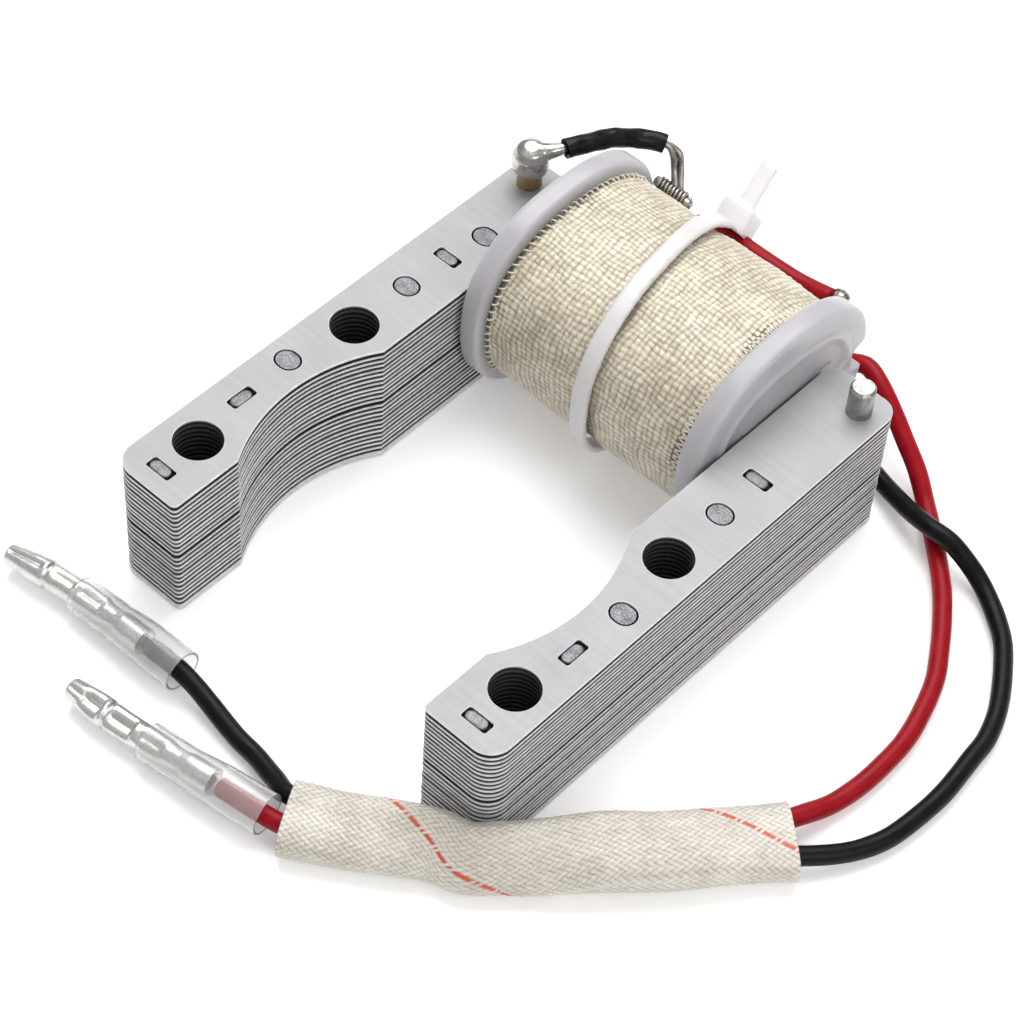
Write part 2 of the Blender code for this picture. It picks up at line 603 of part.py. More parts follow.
steel = material("steel_sheet", (0.62, 0.62, 0.63), 0.45, 1.0)
rivet_steel = material("rivet_steel", (0.68, 0.68, 0.70), 0.35, 1.0)
brass = material("brass", (0.60, 0.50, 0.30), 0.35, 1.0)
solder = material("solder", (0.62, 0.62, 0.62), 0.25, 1.0)
tin = material("tinned_metal", (0.70, 0.69, 0.66), 0.28, 1.0)
nylon = material("nylon", (0.82, 0.80, 0.84), 0.40)
enamel = material("enamelled_copper", (0.55, 0.22, 0.08), 0.30)
cloth = material("glass_cloth", (0.80, 0.76, 0.62), 0.80)
black_plastic = material("black_plastic", (0.015, 0.015, 0.017), 0.45)
red_plastic = material("red_plastic", (0.50, 0.01, 0.02), 0.38)
glass_braid = material("glass_braid", (0.62, 0.60, 0.55), 0.55)
vinyl = material("vinyl", (0.70, 0.72, 0.70), 0.20)

leg("left", -1)
leg("right", 1)
crossbar()
bobbin()
winding_and_tape()
cable_tie()
earth_wire()
solder_drop("earth_terminal_joint", EARTH_JOINT, EARTH_JOINT_WIDTH)
solder_drop("red_lead_joint", RED_JOINT, 2 * JOINT_RADIUS)
tube_curve("red_lead", RED_ROUTE, LEAD_DIAMETER, red_plastic)
tube_curve("black_lead", BLACK_ROUTE, LEAD_DIAMETER, black_plastic)
braided_sleeve()
bullet_contact("black", BLACK_CONTACT_LINE, BLACK_VINYL_START)
bullet_contact("red", RED_CONTACT_LINE, RED_VINYL_START)
stand_at_origin()
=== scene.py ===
import math
import bpy
import numpy as np
from mathutils import Matrix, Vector
from mathutils.geometry import tessellate_polygon


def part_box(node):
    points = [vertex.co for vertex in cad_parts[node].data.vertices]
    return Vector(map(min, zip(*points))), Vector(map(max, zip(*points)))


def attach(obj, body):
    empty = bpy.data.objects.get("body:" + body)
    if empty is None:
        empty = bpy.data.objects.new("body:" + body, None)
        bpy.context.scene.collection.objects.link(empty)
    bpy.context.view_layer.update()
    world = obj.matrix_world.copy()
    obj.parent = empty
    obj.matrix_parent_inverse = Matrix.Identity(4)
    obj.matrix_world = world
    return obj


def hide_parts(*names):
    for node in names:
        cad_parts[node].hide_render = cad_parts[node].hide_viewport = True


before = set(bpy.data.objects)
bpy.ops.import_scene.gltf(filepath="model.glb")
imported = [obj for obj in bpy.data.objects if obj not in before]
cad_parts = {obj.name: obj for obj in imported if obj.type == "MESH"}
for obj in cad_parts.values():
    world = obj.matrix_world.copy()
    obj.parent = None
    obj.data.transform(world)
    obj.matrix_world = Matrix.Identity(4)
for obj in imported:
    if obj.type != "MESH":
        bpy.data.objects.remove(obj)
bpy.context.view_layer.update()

# Ignition coil: two legs of punched steel sheets, a nylon bobbin with a taped winding,
# and two soft leads that end in bullet contacts. Lengths below are in mm from the
# middle of the rotor gap, and toFrame puts them where the frame has them.
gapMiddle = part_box("left_leg_lower_pack")[0].y + 0.0222


def toFrame(points):
    return np.asarray(points, float) * 0.001 + np.array([0, gapMiddle, 0])


# Catmull-Rom curve through the rows, whose first three columns are a place, read at even steps.
def smoothRows(rows, step):
    rows = np.asarray(rows, float)
    ends = np.vstack([2 * rows[0] - rows[1], rows, 2 * rows[-1] - rows[-2]])
    t = np.linspace(0, 1, 60, endpoint=False)[None, :, None]
    a, b, c, d = (ends[i:len(ends) - 3 + i, None, :] for i in range(4))
    square, cube = 2 * a - 5 * b + 4 * c - d, 3 * b - a - 3 * c + d
    fine = 0.5 * (2 * b + (c - a) * t + square * t**2 + cube * t**3)
    fine = np.vstack([fine.reshape(-1, rows.shape[1]), rows[-1:]])
    along = np.append(0, np.cumsum(np.linalg.norm(np.diff(fine[:, :3], axis=0), axis=1)))
    wanted = np.linspace(0, along[-1], max(2, int(round(along[-1] / step)) + 1))
    return np.stack([np.interp(wanted, along, column) for column in fine.T], axis=1)


# Frames that turn as little as they can along a path: tangent, side, up for each row.
def pathFrames(path, up=(0, 0, 1)):
    tangents = np.gradient(path, axis=0)
    tangents /= np.linalg.norm(tangents, axis=1)[:, None]
    ups = np.empty_like(path)
    current = np.array(up, float)
    for i, tangent in enumerate(tangents):
        current = current - tangent * (current @ tangent)
        current /= np.linalg.norm(current)
        ups[i] = current
    return tangents, np.cross(ups, tangents), ups


# Grid of points to a closed mesh: rows join across, and the last column joins the first.
def gridPiece(name, grid, material, closeRows=False, marks=None, sharp=None):
    rows, columns = grid.shape[:2]
    index = np.arange(rows * columns).reshape(rows, columns)
    if closeRows:
        index = np.vstack([index, index[:1]])
    a, b = index[:-1], np.roll(index, -1, axis=1)[:-1]
    c, d = np.roll(index, -1, axis=1)[1:], index[1:]
    quads = np.stack([a, b, c, d], axis=-1).reshape(-1, 4)
    faces = quads.tolist()
    if not closeRows:
        faces += [index[0][::-1].tolist(), index[-1].tolist()]
    return meshPiece(name, grid.reshape(-1, 3), faces, material, marks, sharp)


# Points in mm and faces to an object at the origin, with float marks for the materials.
def meshPiece(name, points, faces, material, marks=None, sharp=None):
    mesh = bpy.data.meshes.new(name)
    mesh.from_pydata(toFrame(points).tolist(), [], faces)
    for mark, values in (marks or {}).items():
        layer = mesh.attributes.new(mark, "FLOAT", "POINT")
        layer.data.foreach_set("value", np.asarray(values, np.float32).ravel())
    mesh.polygons.foreach_set("use_smooth", np.ones(len(mesh.polygons), bool))
    if sharp:
        mesh.set_sharp_from_angle(angle=math.radians(sharp))
    mesh.materials.append(material)
    mesh.update()
    piece = bpy.data.objects.new(name, mesh)
    bpy.context.scene.collection.objects.link(piece)
    outward(piece)
    return piece


# A mesh whose signed volume is negative is inside out, so its faces are turned round.
def outward(piece):
    mesh = piece.data
    mesh.calc_loop_triangles()
    triangles = np.empty(len(mesh.loop_triangles) * 3, np.int32)
    mesh.loop_triangles.foreach_get("vertices", triangles)
    points = np.empty(len(mesh.vertices) * 3, np.float64)
    mesh.vertices.foreach_get("co", points)
    corners = points.reshape(-1, 3)[triangles.reshape(-1, 3)]
    if np.linalg.det(corners - corners.mean(axis=(0, 1))).sum() < 0:
        mesh.flip_normals()


# A round or lobed tube: radius may be a number, one per row, or one per row and column.
def tubePiece(name, path, radius, material, sides, up=(0, 0, 1), marks=None):
    tangents, side, ups = pathFrames(path, up)
    angle = np.linspace(0, 2 * math.pi, sides, endpoint=False)
    radius = np.broadcast_to(np.asarray(radius, float).reshape(-1, 1) if np.ndim(radius) == 1 else radius,
                             (len(path), sides))
    grid = path[:, None] + radius[..., None] * (
        np.cos(angle)[None, :, None] * side[:, None] + np.sin(angle)[None, :, None] * ups[:, None])
    narrowed, setBack = 0.72, 0.18                   # a small rounded rim at each end
    first = path[0] + (grid[0] - path[0]) * narrowed
    last = path[-1] + (grid[-1] - path[-1]) * narrowed
    grid[0] = grid[0] + tangents[0] * setBack * radius[0].mean()
    grid[-1] = grid[-1] - tangents[-1] * setBack * radius[-1].mean()
    return gridPiece(name, np.concatenate([first[None], grid, last[None]]), material, marks=marks)


def keep(piece, slot, *nodes):
    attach(piece, "root")
    if nodes:
        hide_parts(*nodes)
    return piece


def paint(node, material):
    for place in bpy.data.objects[node].material_slots:
        place.material = material


# Short helpers that add nodes to a material and join them.
def newMaterial(name, base, roughness, metallic=0.0, **sockets):
    material = bpy.data.materials.new(name)
    material.use_nodes = True
    shader = material.node_tree.nodes["Principled BSDF"]
    shader.inputs["Base Color"].default_value = (*base, 1)
    shader.inputs["Roughness"].default_value = roughness
    shader.inputs["Metallic"].default_value = metallic
    for socket, value in sockets.items():
        shader.inputs[socket.replace("_", " ")].default_value = value
    return material


def addNode(material, kind, inputs=None, **settings):
    node = material.node_tree.nodes.new(kind)
    for key, value in settings.items():
        setattr(node, key, value)
    for key, value in (inputs or {}).items():
        if isinstance(value, bpy.types.NodeSocket):
            material.node_tree.links.new(value, node.inputs[key])
        else:
            node.inputs[key].default_value = value
    return node


def intoShader(material, socket, output):
    shader = material.node_tree.nodes["Principled BSDF"]
    material.node_tree.links.new(output, shader.inputs[socket])


def objectPlace(material, scale):
    place = addNode(material, "ShaderNodeTexCoord").outputs["Object"]
    return addNode(material, "ShaderNodeMapping", {"Vector": place, "Scale": scale}).outputs[0]


def grain(material, size, detail, scale=(1, 1, 1)):     # size in mm
    return addNode(material, "ShaderNodeTexNoise", {
        "Vector": objectPlace(material, scale), "Scale": 1000 / size, "Detail": detail,
        "Roughness": 0.55}).outputs[0]


def mark(material, name):
    return addNode(material, "ShaderNodeAttribute", attribute_name=name).outputs["Fac"]


def ramp(material, value, stops):
    node = addNode(material, "ShaderNodeValToRGB", {"Fac": value})
    while len(node.color_ramp.elements) < len(stops):
        node.color_ramp.elements.new(0.5)
    for element, (where, shade) in zip(node.color_ramp.elements, stops):
        element.position = where
        element.color = (*shade, 1) if isinstance(shade, tuple) else (shade, shade, shade, 1)
    return node.outputs[0]


def mixed(material, value, first, second, blend="MIX"):
    node = addNode(material, "ShaderNodeMix", data_type="RGBA", blend_type=blend)
    for key, source in ((0, value), (6, first), (7, second)):
        if isinstance(source, bpy.types.NodeSocket):
            material.node_tree.links.new(source, node.inputs[key])
        else:
            node.inputs[key].default_value = source if key == 0 else (*source, 1)
    return node.outputs[2]


def bumped(material, height, strength, depth, under=None):      # depth in mm
    inputs = {"Height": height, "Strength": strength, "Distance": depth * 0.001}
    if under is not None:
        inputs["Normal"] = under
    return addNode(material, "ShaderNodeBump", inputs).outputs[0]


# Punched electrical sheet: dull grey faces with rolling grain and a few stains, one shade
# for each sheet's cut edge, and painted shade, near-black, where the mark "gap" is one: in the
# gaps between the sheets, over their dark varnish. The mark "bore" paints shade down the holes.
def punchedSteel():
    material = newMaterial("punchedSteel", (0.5, 0.5, 0.5), 0.5, 0.15, Specular_IOR_Level=0.3)
    gap = mark(material, "gap")
    broad = grain(material, 9.0, 4)
    fine = grain(material, 0.35, 2)
    rolled = grain(material, 0.5, 3, (0.05, 1.0, 1.0))
    face = ramp(material, broad, [(0.3, (0.315, 0.315, 0.32)), (0.7, (0.355, 0.355, 0.36))])
    face = mixed(material, 0.25, face, ramp(material, fine, [(0.3, 0.40), (0.7, 0.62)]), "OVERLAY")
    face = mixed(material, 0.2, face, ramp(material, rolled, [(0.35, 0.42), (0.65, 0.6)]), "OVERLAY")
    sheetShade = mark(material, "sheetShade")
    edge = ramp(material, sheetShade, [(0.0, (0.50, 0.49, 0.50)), (1.0, (0.66, 0.65, 0.65))])
    streak = ramp(material, grain(material, 0.6, 4, (0.6, 0.6, 2.5)), [(0.3, 0.25), (0.7, 0.9)])
    edge = mixed(material, 0.45, edge, streak, "OVERLAY")
    surface = mixed(material, mark(material, "cut"), face, edge)
    # painted shade: near-black in the gaps between the sheets
    surface = mixed(material, gap, surface, (0.022, 0.020, 0.022))
    # painted shade: near-black down the walls of the holes and windows
    surface = mixed(material, mark(material, "bore"), surface, (0.012, 0.011, 0.011))
    intoShader(material, "Base Color", surface)
    intoShader(material, "Roughness", ramp(material, fine, [(0.25, 0.36), (0.75, 0.58)]))
    under = bumped(material, rolled, 0.3, 0.03)
    intoShader(material, "Normal", bumped(material, fine, 0.35, 0.03, under))
    return material


# Bare or tinned metal: duller patches, a fine grain in the gloss, and shallow dents.
def tinnedMetal(name, shade, roughness, spots, tarnish=0.62):
    material = newMaterial(name, shade, roughness, 1.0)
    patches = grain(material, 1.3, 4)
    fine = grain(material, 0.22, 2)
    dark = tuple(tarnish * part for part in shade)
    intoShader(material, "Base Color", ramp(material, patches, [(0.32, dark), (0.62, shade)]))
    stops = [(0.3, roughness * 0.75), (0.7, roughness * 1.5)]
    intoShader(material, "Roughness", ramp(material, fine, stops))
    under = bumped(material, fine, 0.3, 0.02)
    intoShader(material, "Normal", bumped(material, patches, spots, 0.05, under))
    return material


# Milky nylon: light goes a little way in, and the moulded skin is faintly uneven.
def milkyNylon(name, shade, clear):
    material = newMaterial(name, shade, 0.34, Transmission_Weight=clear, IOR=1.5,
                           Subsurface_Weight=0.55, Subsurface_Scale=0.003)
    material.node_tree.nodes["Principled BSDF"].inputs["Subsurface Radius"].default_value = (1, 0.95, 1)
    cloud = grain(material, 6, 3)
    tinted = tuple(0.90 * part for part in shade)
    intoShader(material, "Base Color", ramp(material, cloud, [(0.3, tinted), (0.7, shade)]))
    skin = grain(material, 2.5, 2)
    intoShader(material, "Roughness", ramp(material, skin, [(0.3, 0.28), (0.7, 0.40)]))
    intoShader(material, "Normal", bumped(material, skin, 0.12, 0.06))
    return material


# Soft wire insulation: satin, with faint drawing lines, scuffs and a little dust.
def softVinyl(name, shade, pale, roughness=0.36):
    material = newMaterial(name, shade, roughness, Specular_IOR_Level=0.14)
    wear = grain(material, 1.6, 5)
    intoShader(material, "Base Color", ramp(material, wear, [(0.35, shade), (0.78, pale)]))
    stops = [(0.3, roughness * 0.8), (0.7, roughness * 1.3)]
    intoShader(material, "Roughness", ramp(material, wear, stops))
    fine = grain(material, 0.4, 3)
    intoShader(material, "Normal", bumped(material, fine, 0.22, 0.05, bumped(material, wear, 0.2, 0.12)))
    return material


# Woven glass: pale crowns, and colour that darkens by the mark "crown" where the threads dip:
# painted shade in the weave's crossings and holes, with a resin tint between.
def wovenGlass(name, crown, hole, tint, roughness, tracer=None):
    material = newMaterial(name, crown, roughness, Specular_IOR_Level=0.55, Sheen_Weight=0.1,
                           Coat_Weight=0.25, Coat_Roughness=0.16)
    height = mark(material, "crown")
    # painted shade: the lower the weave, the darker the colour
    thread = ramp(material, height, [(0.08, hole), (0.45, tint), (0.9, crown)])
    fibre = ramp(material, grain(material, 0.16, 2), [(0.3, 0.38), (0.7, 0.72)])
    thread = mixed(material, 0.5, thread, fibre, "OVERLAY")
    blotch = ramp(material, grain(material, 5.0, 4), [(0.3, 0.36), (0.7, 0.58)])
    thread = mixed(material, 0.7, thread, blotch, "OVERLAY")
    if tracer:
        thread = mixed(material, mark(material, "tracer"), thread, tracer)
    intoShader(material, "Base Color", thread)
    intoShader(material, "Roughness", ramp(material, height, [(0.1, 0.7), (0.9, roughness)]))
    intoShader(material, "Normal", bumped(material, grain(material, 0.2, 2), 0.4, 0.04))
    return material


steel = punchedSteel()
solder = tinnedMetal("brightSolder", (0.56, 0.545, 0.51), 0.2, 0.5)
contactTin = tinnedMetal("contactTin", (0.66, 0.66, 0.635), 0.30, 0.05, 0.86)
postTin = tinnedMetal("postTin", (0.42, 0.415, 0.40), 0.36, 0.8)
wireTin = tinnedMetal("tinnedWire", (0.40, 0.385, 0.36), 0.3, 0.8)
rivetSteel = tinnedMetal("rivetSteel", (0.185, 0.185, 0.195), 0.45, 1.6)
tabSteel = tinnedMetal("tabSteel", (0.19, 0.19, 0.20), 0.45, 0.3)
brass = tinnedMetal("dullBrass", (0.50, 0.37, 0.20), 0.38, 0.6)
nylon = milkyNylon("milkyNylon", (0.55, 0.535, 0.56), 0.25)
tieNylon = milkyNylon("tieNylon", (0.78, 0.755, 0.77), 0.2)
redVinyl = softVinyl("redInsulation", (0.24, 0.0025, 0.008), (0.32, 0.005, 0.012))
blackVinyl = softVinyl("blackInsulation", (0.0025, 0.0025, 0.0027), (0.006, 0.006, 0.006))
sleevingVinyl = softVinyl("blackSleeving", (0.003, 0.003, 0.003), (0.016, 0.016, 0.017), 0.24)
clearVinyl = newMaterial("clearVinyl", (0.95, 0.95, 0.95), 0.12, Transmission_Weight=0.88, IOR=1.38)
haze = grain(clearVinyl, 2.2, 4)
intoShader(clearVinyl, "Base Color",
           ramp(clearVinyl, haze, [(0.3, (0.90, 0.90, 0.89)), (0.7, (0.99, 0.99, 0.985))]))
intoShader(clearVinyl, "Roughness", ramp(clearVinyl, haze, [(0.3, 0.06), (0.7, 0.22)]))
intoShader(clearVinyl, "Normal", bumped(clearVinyl, haze, 0.35, 0.15))
copper = tinnedMetal("enamelledCopper", (0.55, 0.22, 0.10), 0.25, 0.3)
tapeCloth = wovenGlass("varnishedTape", (0.69, 0.635, 0.52), (0.25, 0.215, 0.15),
                       (0.52, 0.465, 0.355), 0.36)
braidGlass = wovenGlass("braidedGlass", (0.64, 0.60, 0.535), (0.30, 0.27, 0.225),
                        (0.53, 0.49, 0.43), 0.42, (0.55, 0.06, 0.02))

# The camera stands at a place in mm and looks along its azimuth and elevation, with a roll.
cameraPlan = {"place": (147.697, -166.684, 292.90), "lens": 108.72, "azimuth": 39.2551,
              "elevation": 51.0223, "roll": 4.5735}


def addCamera(plan):
    azimuth = math.radians(plan["azimuth"])
    elevation = math.radians(plan["elevation"])
    roll = math.radians(plan["roll"])
    back = np.array([math.sin(azimuth) * math.cos(elevation), -math.cos(azimuth) * math.cos(elevation),
                     math.sin(elevation)])
    level = np.array([math.cos(azimuth), math.sin(azimuth), 0])
    above = np.cross(back, level)
    right = math.cos(roll) * level + math.sin(roll) * above
    up = -math.sin(roll) * level + math.cos(roll) * above
    data = bpy.data.cameras.new("camera")
    data.lens = plan["lens"]
    data.sensor_width = 36
    data.clip_start = 0.01
    camera = bpy.data.objects.new("camera", data)
    turned = Matrix([[right[i], up[i], back[i]] for i in range(3)]).to_4x4()
    turned.translation = toFrame(plan["place"]).tolist()
    camera.matrix_world = turned
    bpy.context.scene.collection.objects.link(camera)
    bpy.context.scene.camera = camera


# A round softbox that faces a point just above the floor: size in metres, power in watts.
def addLamp(name, place, size, power):
    data = bpy.data.lights.new(name, "AREA")
    data.shape = "DISK"
    data.size = size
    data.energy = power
    lamp = bpy.data.objects.new(name, data)
    start = toFrame(place)
    back = start - toFrame((0, 0, 10))
    back /= np.linalg.norm(back)
    level = np.cross((0, 0.1, 1), back)
    level /= np.linalg.norm(level)
    above = np.cross(back, level)
    turned = Matrix([[level[i], above[i], back[i]] for i in range(3)]).to_4x4()
    turned.translation = start.tolist()
    lamp.matrix_world = turned
    bpy.context.scene.collection.objects.link(lamp)


addCamera(cameraPlan)
addLamp("softboxAbove", (-120, 160, 420), 0.42, 2.1)
addLamp("softboxRight", (330, -60, 260), 0.30, 0.55)
world = bpy.data.worlds.new("paleRoom")
bpy.context.scene.world = world
world.use_nodes = True
direction = addNode(world, "ShaderNodeTexCoord").outputs["Generated"]
sky = addNode(world, "ShaderNodeSeparateXYZ", {0: direction})
glow = ramp(world, sky.outputs["Z"], [(0.0, 0.30), (0.55, 0.62)])    # brighter overhead
world.node_tree.links.new(glow, world.node_tree.nodes["Background"].inputs[0])
world.node_tree.nodes["Background"].inputs[1].default_value = 1.0
bpy.context.scene.view_settings.view_transform = "Standard"
floorPaint = newMaterial("paleFloor", (0.90, 0.90, 0.905), 0.7, Emission_Strength=0.22)
floorPaint.node_tree.nodes["Principled BSDF"].inputs["Emission Color"].default_value = (1, 1, 1, 1)
floorShade = ramp(floorPaint, grain(floorPaint, 40, 2), [(0.3, 0.885), (0.7, 0.91)])
intoShader(floorPaint, "Base Color", floorShade)
floorMesh = bpy.data.meshes.new("floor")
floorCorners = [(x, y, -0.0002) for x, y in ((-3, -3), (3, -3), (3, 3), (-3, 3))]
floorMesh.from_pydata(floorCorners, [], [(0, 1, 2, 3)])
floorMesh.materials.append(floorPaint)
floor = bpy.data.objects.new("floor", floorMesh)
bpy.context.scene.collection.objects.link(floor)
print("camera, lamps and floor made")

# Each lead's middle line, from its joint behind the coil to its contact.
redRoute = ((12.6, 57.4, 18.7), (8, 57.5, 17.7), (4, 57.5, 17.4), (0, 57.5, 17.4), (-4.5, 57.5, 17.4),
    (-8.6, 57.7, 16), (-10.6, 57.7, 12), (-8.8, 56.7, 8), (-4.5, 55.8, 6.4), (0, 55.4, 6.2),
    (4, 55.4, 6.3), (8, 56, 6.7), (12.5, 57.9, 7.6), (16, 58.9, 8.6), (18.4, 59.2, 9.4),
    (21.2, 58.3, 9), (24.8, 57, 7.3), (27.5, 56, 5.6), (30.8, 54.7, 3.7), (33.7, 53, 1.8),
    (37, 50.3, 1.3), (40.4, 47.1, 1.3), (43.6, 43.8, 1.3), (46.4, 40.2, 1.3), (48.9, 36.5, 1.3),
    (51.2, 32.6, 1.3), (52.9, 27.9, 1.3), (54, 23.4, 1.3), (54.3, 19, 1.3), (54.2, 14.8, 1.3),
    (53.5, 10.4, 1.4), (52.3, 6.6, 2.1), (50.8, 3, 2.6), (49.2, 0.2, 2.5), (46.9, -3.4, 2.4),
    (43.9, -8.8, 2.2), (40.2, -14.5, 2.2), (35.7, -20.7, 2.5), (33.5, -23.2, 2.8),
    (30.7, -26.3, 2.9), (27, -27.5, 2.7), (23.4, -29.7, 2.6), (17.4, -33, 2.4), (12.2, -35.6, 2.4),
    (8.6, -36.6, 2.8), (5.6, -37.1, 2.95), (3.2, -37.4, 2.9))
blackRoute = ((-13.2, 59.3, 14), (-13, 60, 11), (-11.8, 60.2, 7), (-9, 59.6, 3.6), (-5, 58.9, 1.6),
    (0, 58.4, 1.3), (5, 57.7, 1.3), (10, 56.8, 1.3), (15, 55.6, 1.3), (20, 54.2, 1.3),
    (27.6, 51.9, 1.5), (31.1, 50.6, 2.2), (34.2, 49.4, 3.1), (37.9, 48.3, 4.3), (40.9, 48.3, 4.2),
    (44.3, 48.1, 2.8), (47.4, 47.2, 1.7), (51.1, 44.9, 1.3), (54.3, 41.9, 1.3), (58.4, 35.8, 1.3),
    (60.5, 30.8, 1.3), (61.1, 26.5, 1.3), (61.7, 20.9, 1.3), (61.6, 16.4, 1.3), (61, 11.6, 1.3),
    (59.7, 7.9, 1.5), (57.9, 4.8, 1.9), (55.4, 1.7, 2.3), (52.7, -1.1, 2.6), (49.9, -4.7, 3.4),
    (45.1, -9.8, 4.85), (39.6, -13.9, 5.2), (34.4, -19.6, 5.1), (32.3, -22.2, 5.3),
    (29.6, -24.7, 5.2), (25.9, -25.5, 4.9), (22, -27.2, 4.1), (15.8, -30.3, 3.1), (9.8, -32.5, 2.6),
    (6.4, -31.8, 1.8), (2.3, -30.9, 1.3), (-0.4, -30.7, 1.3), (-3.3, -30.3, 1.5), (-6.2, -29.9, 2),
    (-8.9, -29.6, 2.5), (-12, -29.5, 2.95), (-16.8, -29.6, 2.85))
leadPlan = {"diameter": 2.5, "step": 0.8, "sides": 24, "share": 0.955}


# A lead is a round tube whose radius swells and thins by a hundredth along its length,
# and stays just inside the solid's.
def addLead(name, route, material):
    path = smoothRows(route, leadPlan["step"])
    along = np.arange(len(path)) * leadPlan["step"]
    swell = 0.01 * np.sin(along * 0.9) * np.sin(along * 0.23)
    radius = leadPlan["diameter"] / 2 * (leadPlan["share"] + swell)
    piece = tubePiece(name, path, radius, material, leadPlan["sides"])
    return piece, path


redLead, redPath = addLead("redLead", redRoute, redVinyl)
blackLead, blackPath = addLead("blackLead", blackRoute, blackVinyl)
keep(redLead, "red_plastic", "red_lead")
keep(blackLead, "black_plastic", "black_lead")


# A bullet contact is rolled from sheet: a tapered nose, a groove, a collar and a crimp barrel.
# The seam left by rolling is a valley along the top with a raised lip on each side.
contactPlan = {"length": 21.8, "step": 0.16, "sides": 72, "blackSeam": 1.75, "redSeam": 2.0,
               "widest": 1.88,
               "profile": ((0, 1.15), (0.25, 1.32), (1.5, 1.5), (4.0, 1.80), (5.7, 1.9), (6.0, 1.82),
                           (6.15, 1.5), (6.4, 1.5), (6.55, 1.80), (8.0, 1.76), (10.4, 1.76), (14.5, 1.70),
                           (15.6, 1.45), (17.0, 1.42), (18.0, 1.68), (21.6, 1.70), (21.8, 1.6))}
clearPlan = {"length": 17.0, "front": 2.36, "rear": 2.66, "wall": 0.3, "step": 0.4, "blackStart": 10.9,
             "redStart": 12.2}


def addContact(name, line, seam, seams, node):
    p = contactPlan
    path = smoothRows(line, p["step"])
    path = path[:int(p["length"] / p["step"]) + 1]
    along = np.arange(len(path)) * p["step"]
    where, radii = np.array(p["profile"]).T
    radius = np.interp(along, where, radii)[:, None]
    angle = np.linspace(0, 2 * math.pi, p["sides"], endpoint=False)
    turn = np.angle(np.exp(1j * (angle - seam)))[None]
    start, stop, deep, width = (np.array(column)[:, None, None] for column in zip(*seams))
    opened = np.clip((along[None, :, None] - start) / 0.8, 0, 1)
    closed = np.clip((stop - along[None, :, None]) / 0.5, 0, 1)
    inside = opened * closed
    valley = (deep * inside * np.exp(-(turn[None] / width) ** 2)).max(axis=0)
    offLip = (np.abs(turn[None]) - 1.9 * width) / (0.5 * width)
    lip = (0.08 * deep * inside * np.exp(-offLip ** 2)).max(axis=0)
    ripple = 0.006 * np.sin(3 * turn + along[:, None] * 0.9)
    rolled = np.minimum(radius - valley + lip + ripple, p["widest"])
    return keep(tubePiece(name, path, rolled, contactTin, p["sides"]), "tinned_metal", node)


# A clear sleeve is a thin tube that widens in one step near its middle and is a little oval.
def addClearSleeve(name, line, start, node):
    p = clearPlan
    path = smoothRows(line, p["step"])
    path = path[int(start / p["step"]):int((start + p["length"]) / p["step"]) + 1]
    t = np.linspace(0, 1, len(path))
    widening = np.clip((t - 0.38) / 0.24, 0, 1)
    radius = p["front"] + (p["rear"] - p["front"]) * widening - 0.10 * (t > 0.66) * (t - 0.66)
    rows = np.append(np.arange(len(path)), np.arange(len(path))[::-1])
    tangents, side, ups = pathFrames(path)
    angle = np.linspace(0, 2 * math.pi, 48, endpoint=False)
    squash = 1 + 0.02 * np.cos(2 * angle + 0.6)
    both = np.append(radius, radius[::-1] - p["wall"])
    around = (np.cos(angle)[None, :, None] * side[rows][:, None]
              + np.sin(angle)[None, :, None] * ups[rows][:, None])
    grid = path[rows][:, None] + (both[:, None] * squash)[..., None] * around
    return keep(gridPiece(name, grid, clearVinyl, closeRows=True, sharp=50), "vinyl", node)


blackLine = ((-38.7, -31.7, 2.3), (-32.8, -30.6, 2.4), (-28.0, -30.0, 2.5), (-19.8, -29.7, 2.95),
             (-10.0, -29.4, 3.0))
redLine = ((-19.0, -39.6, 2.3), (-12.7, -39.3, 2.4), (-6.8, -38.6, 2.5), (0.5, -37.8, 2.95),
           (10.6, -36.2, 3.0))
blackContact = addContact("blackLeadContact", blackLine, contactPlan["blackSeam"],
                          ((0.0, 5.6, 0.35, 0.22), (6.6, 10.6, 0.25, 0.3), (10.8, 15.2, 0.5, 0.45)),
                          "black_lead_bullet_contact")
redContact = addContact("redLeadContact", redLine, contactPlan["redSeam"],
                        ((0.0, 3.2, 0.3, 0.25), (2.2, 5.7, 0.95, 0.6), (6.2, 10.4, 0.8, 0.55),
                         (11, 15, 0.4, 0.4)),
                        "red_lead_bullet_contact")
blackClear = addClearSleeve("blackLeadClearSleeve", blackLine, clearPlan["blackStart"],
                            "black_lead_vinyl_sleeve")
redClear = addClearSleeve("redLeadClearSleeve", redLine, clearPlan["redStart"], "red_lead_vinyl_sleeve")
print("leads laid")

legPlan = {"innerX": 19.5, "outerX": 30.0, "front": -22.2, "back": 48.9, "poleRadius": 22.9,
           "frontOuter": 3.0, "frontInner": 0.8, "backInner": 2.0, "backOuter": 2.5,
           "boltRadius": 3.0, "bolts": ((25, -13.2), (25, 12.5)),
           "rivets": ((26.6, 2.9), (25.0, 21.5), (24.0, 34.4)), "rivetSize": (3.1, 2.6),
           "rivetRoom": 0.2, "tabSunk": 0.06,
           "across": ((24.9, -19.1), (24.8, 28.5)), "lengthwise": ((26.2, -5.05),),
           "windowSize": (3.6, 1.6), "tabSize": (3.05, 1.55), "gapShare": 0.50, "gapDepth": 0.36}


def arc(x, y, radius, start, end, count=9):
    angle = np.radians(np.linspace(start, end, count))
    return np.stack([x + radius * np.cos(angle), y + radius * np.sin(angle)], axis=1)


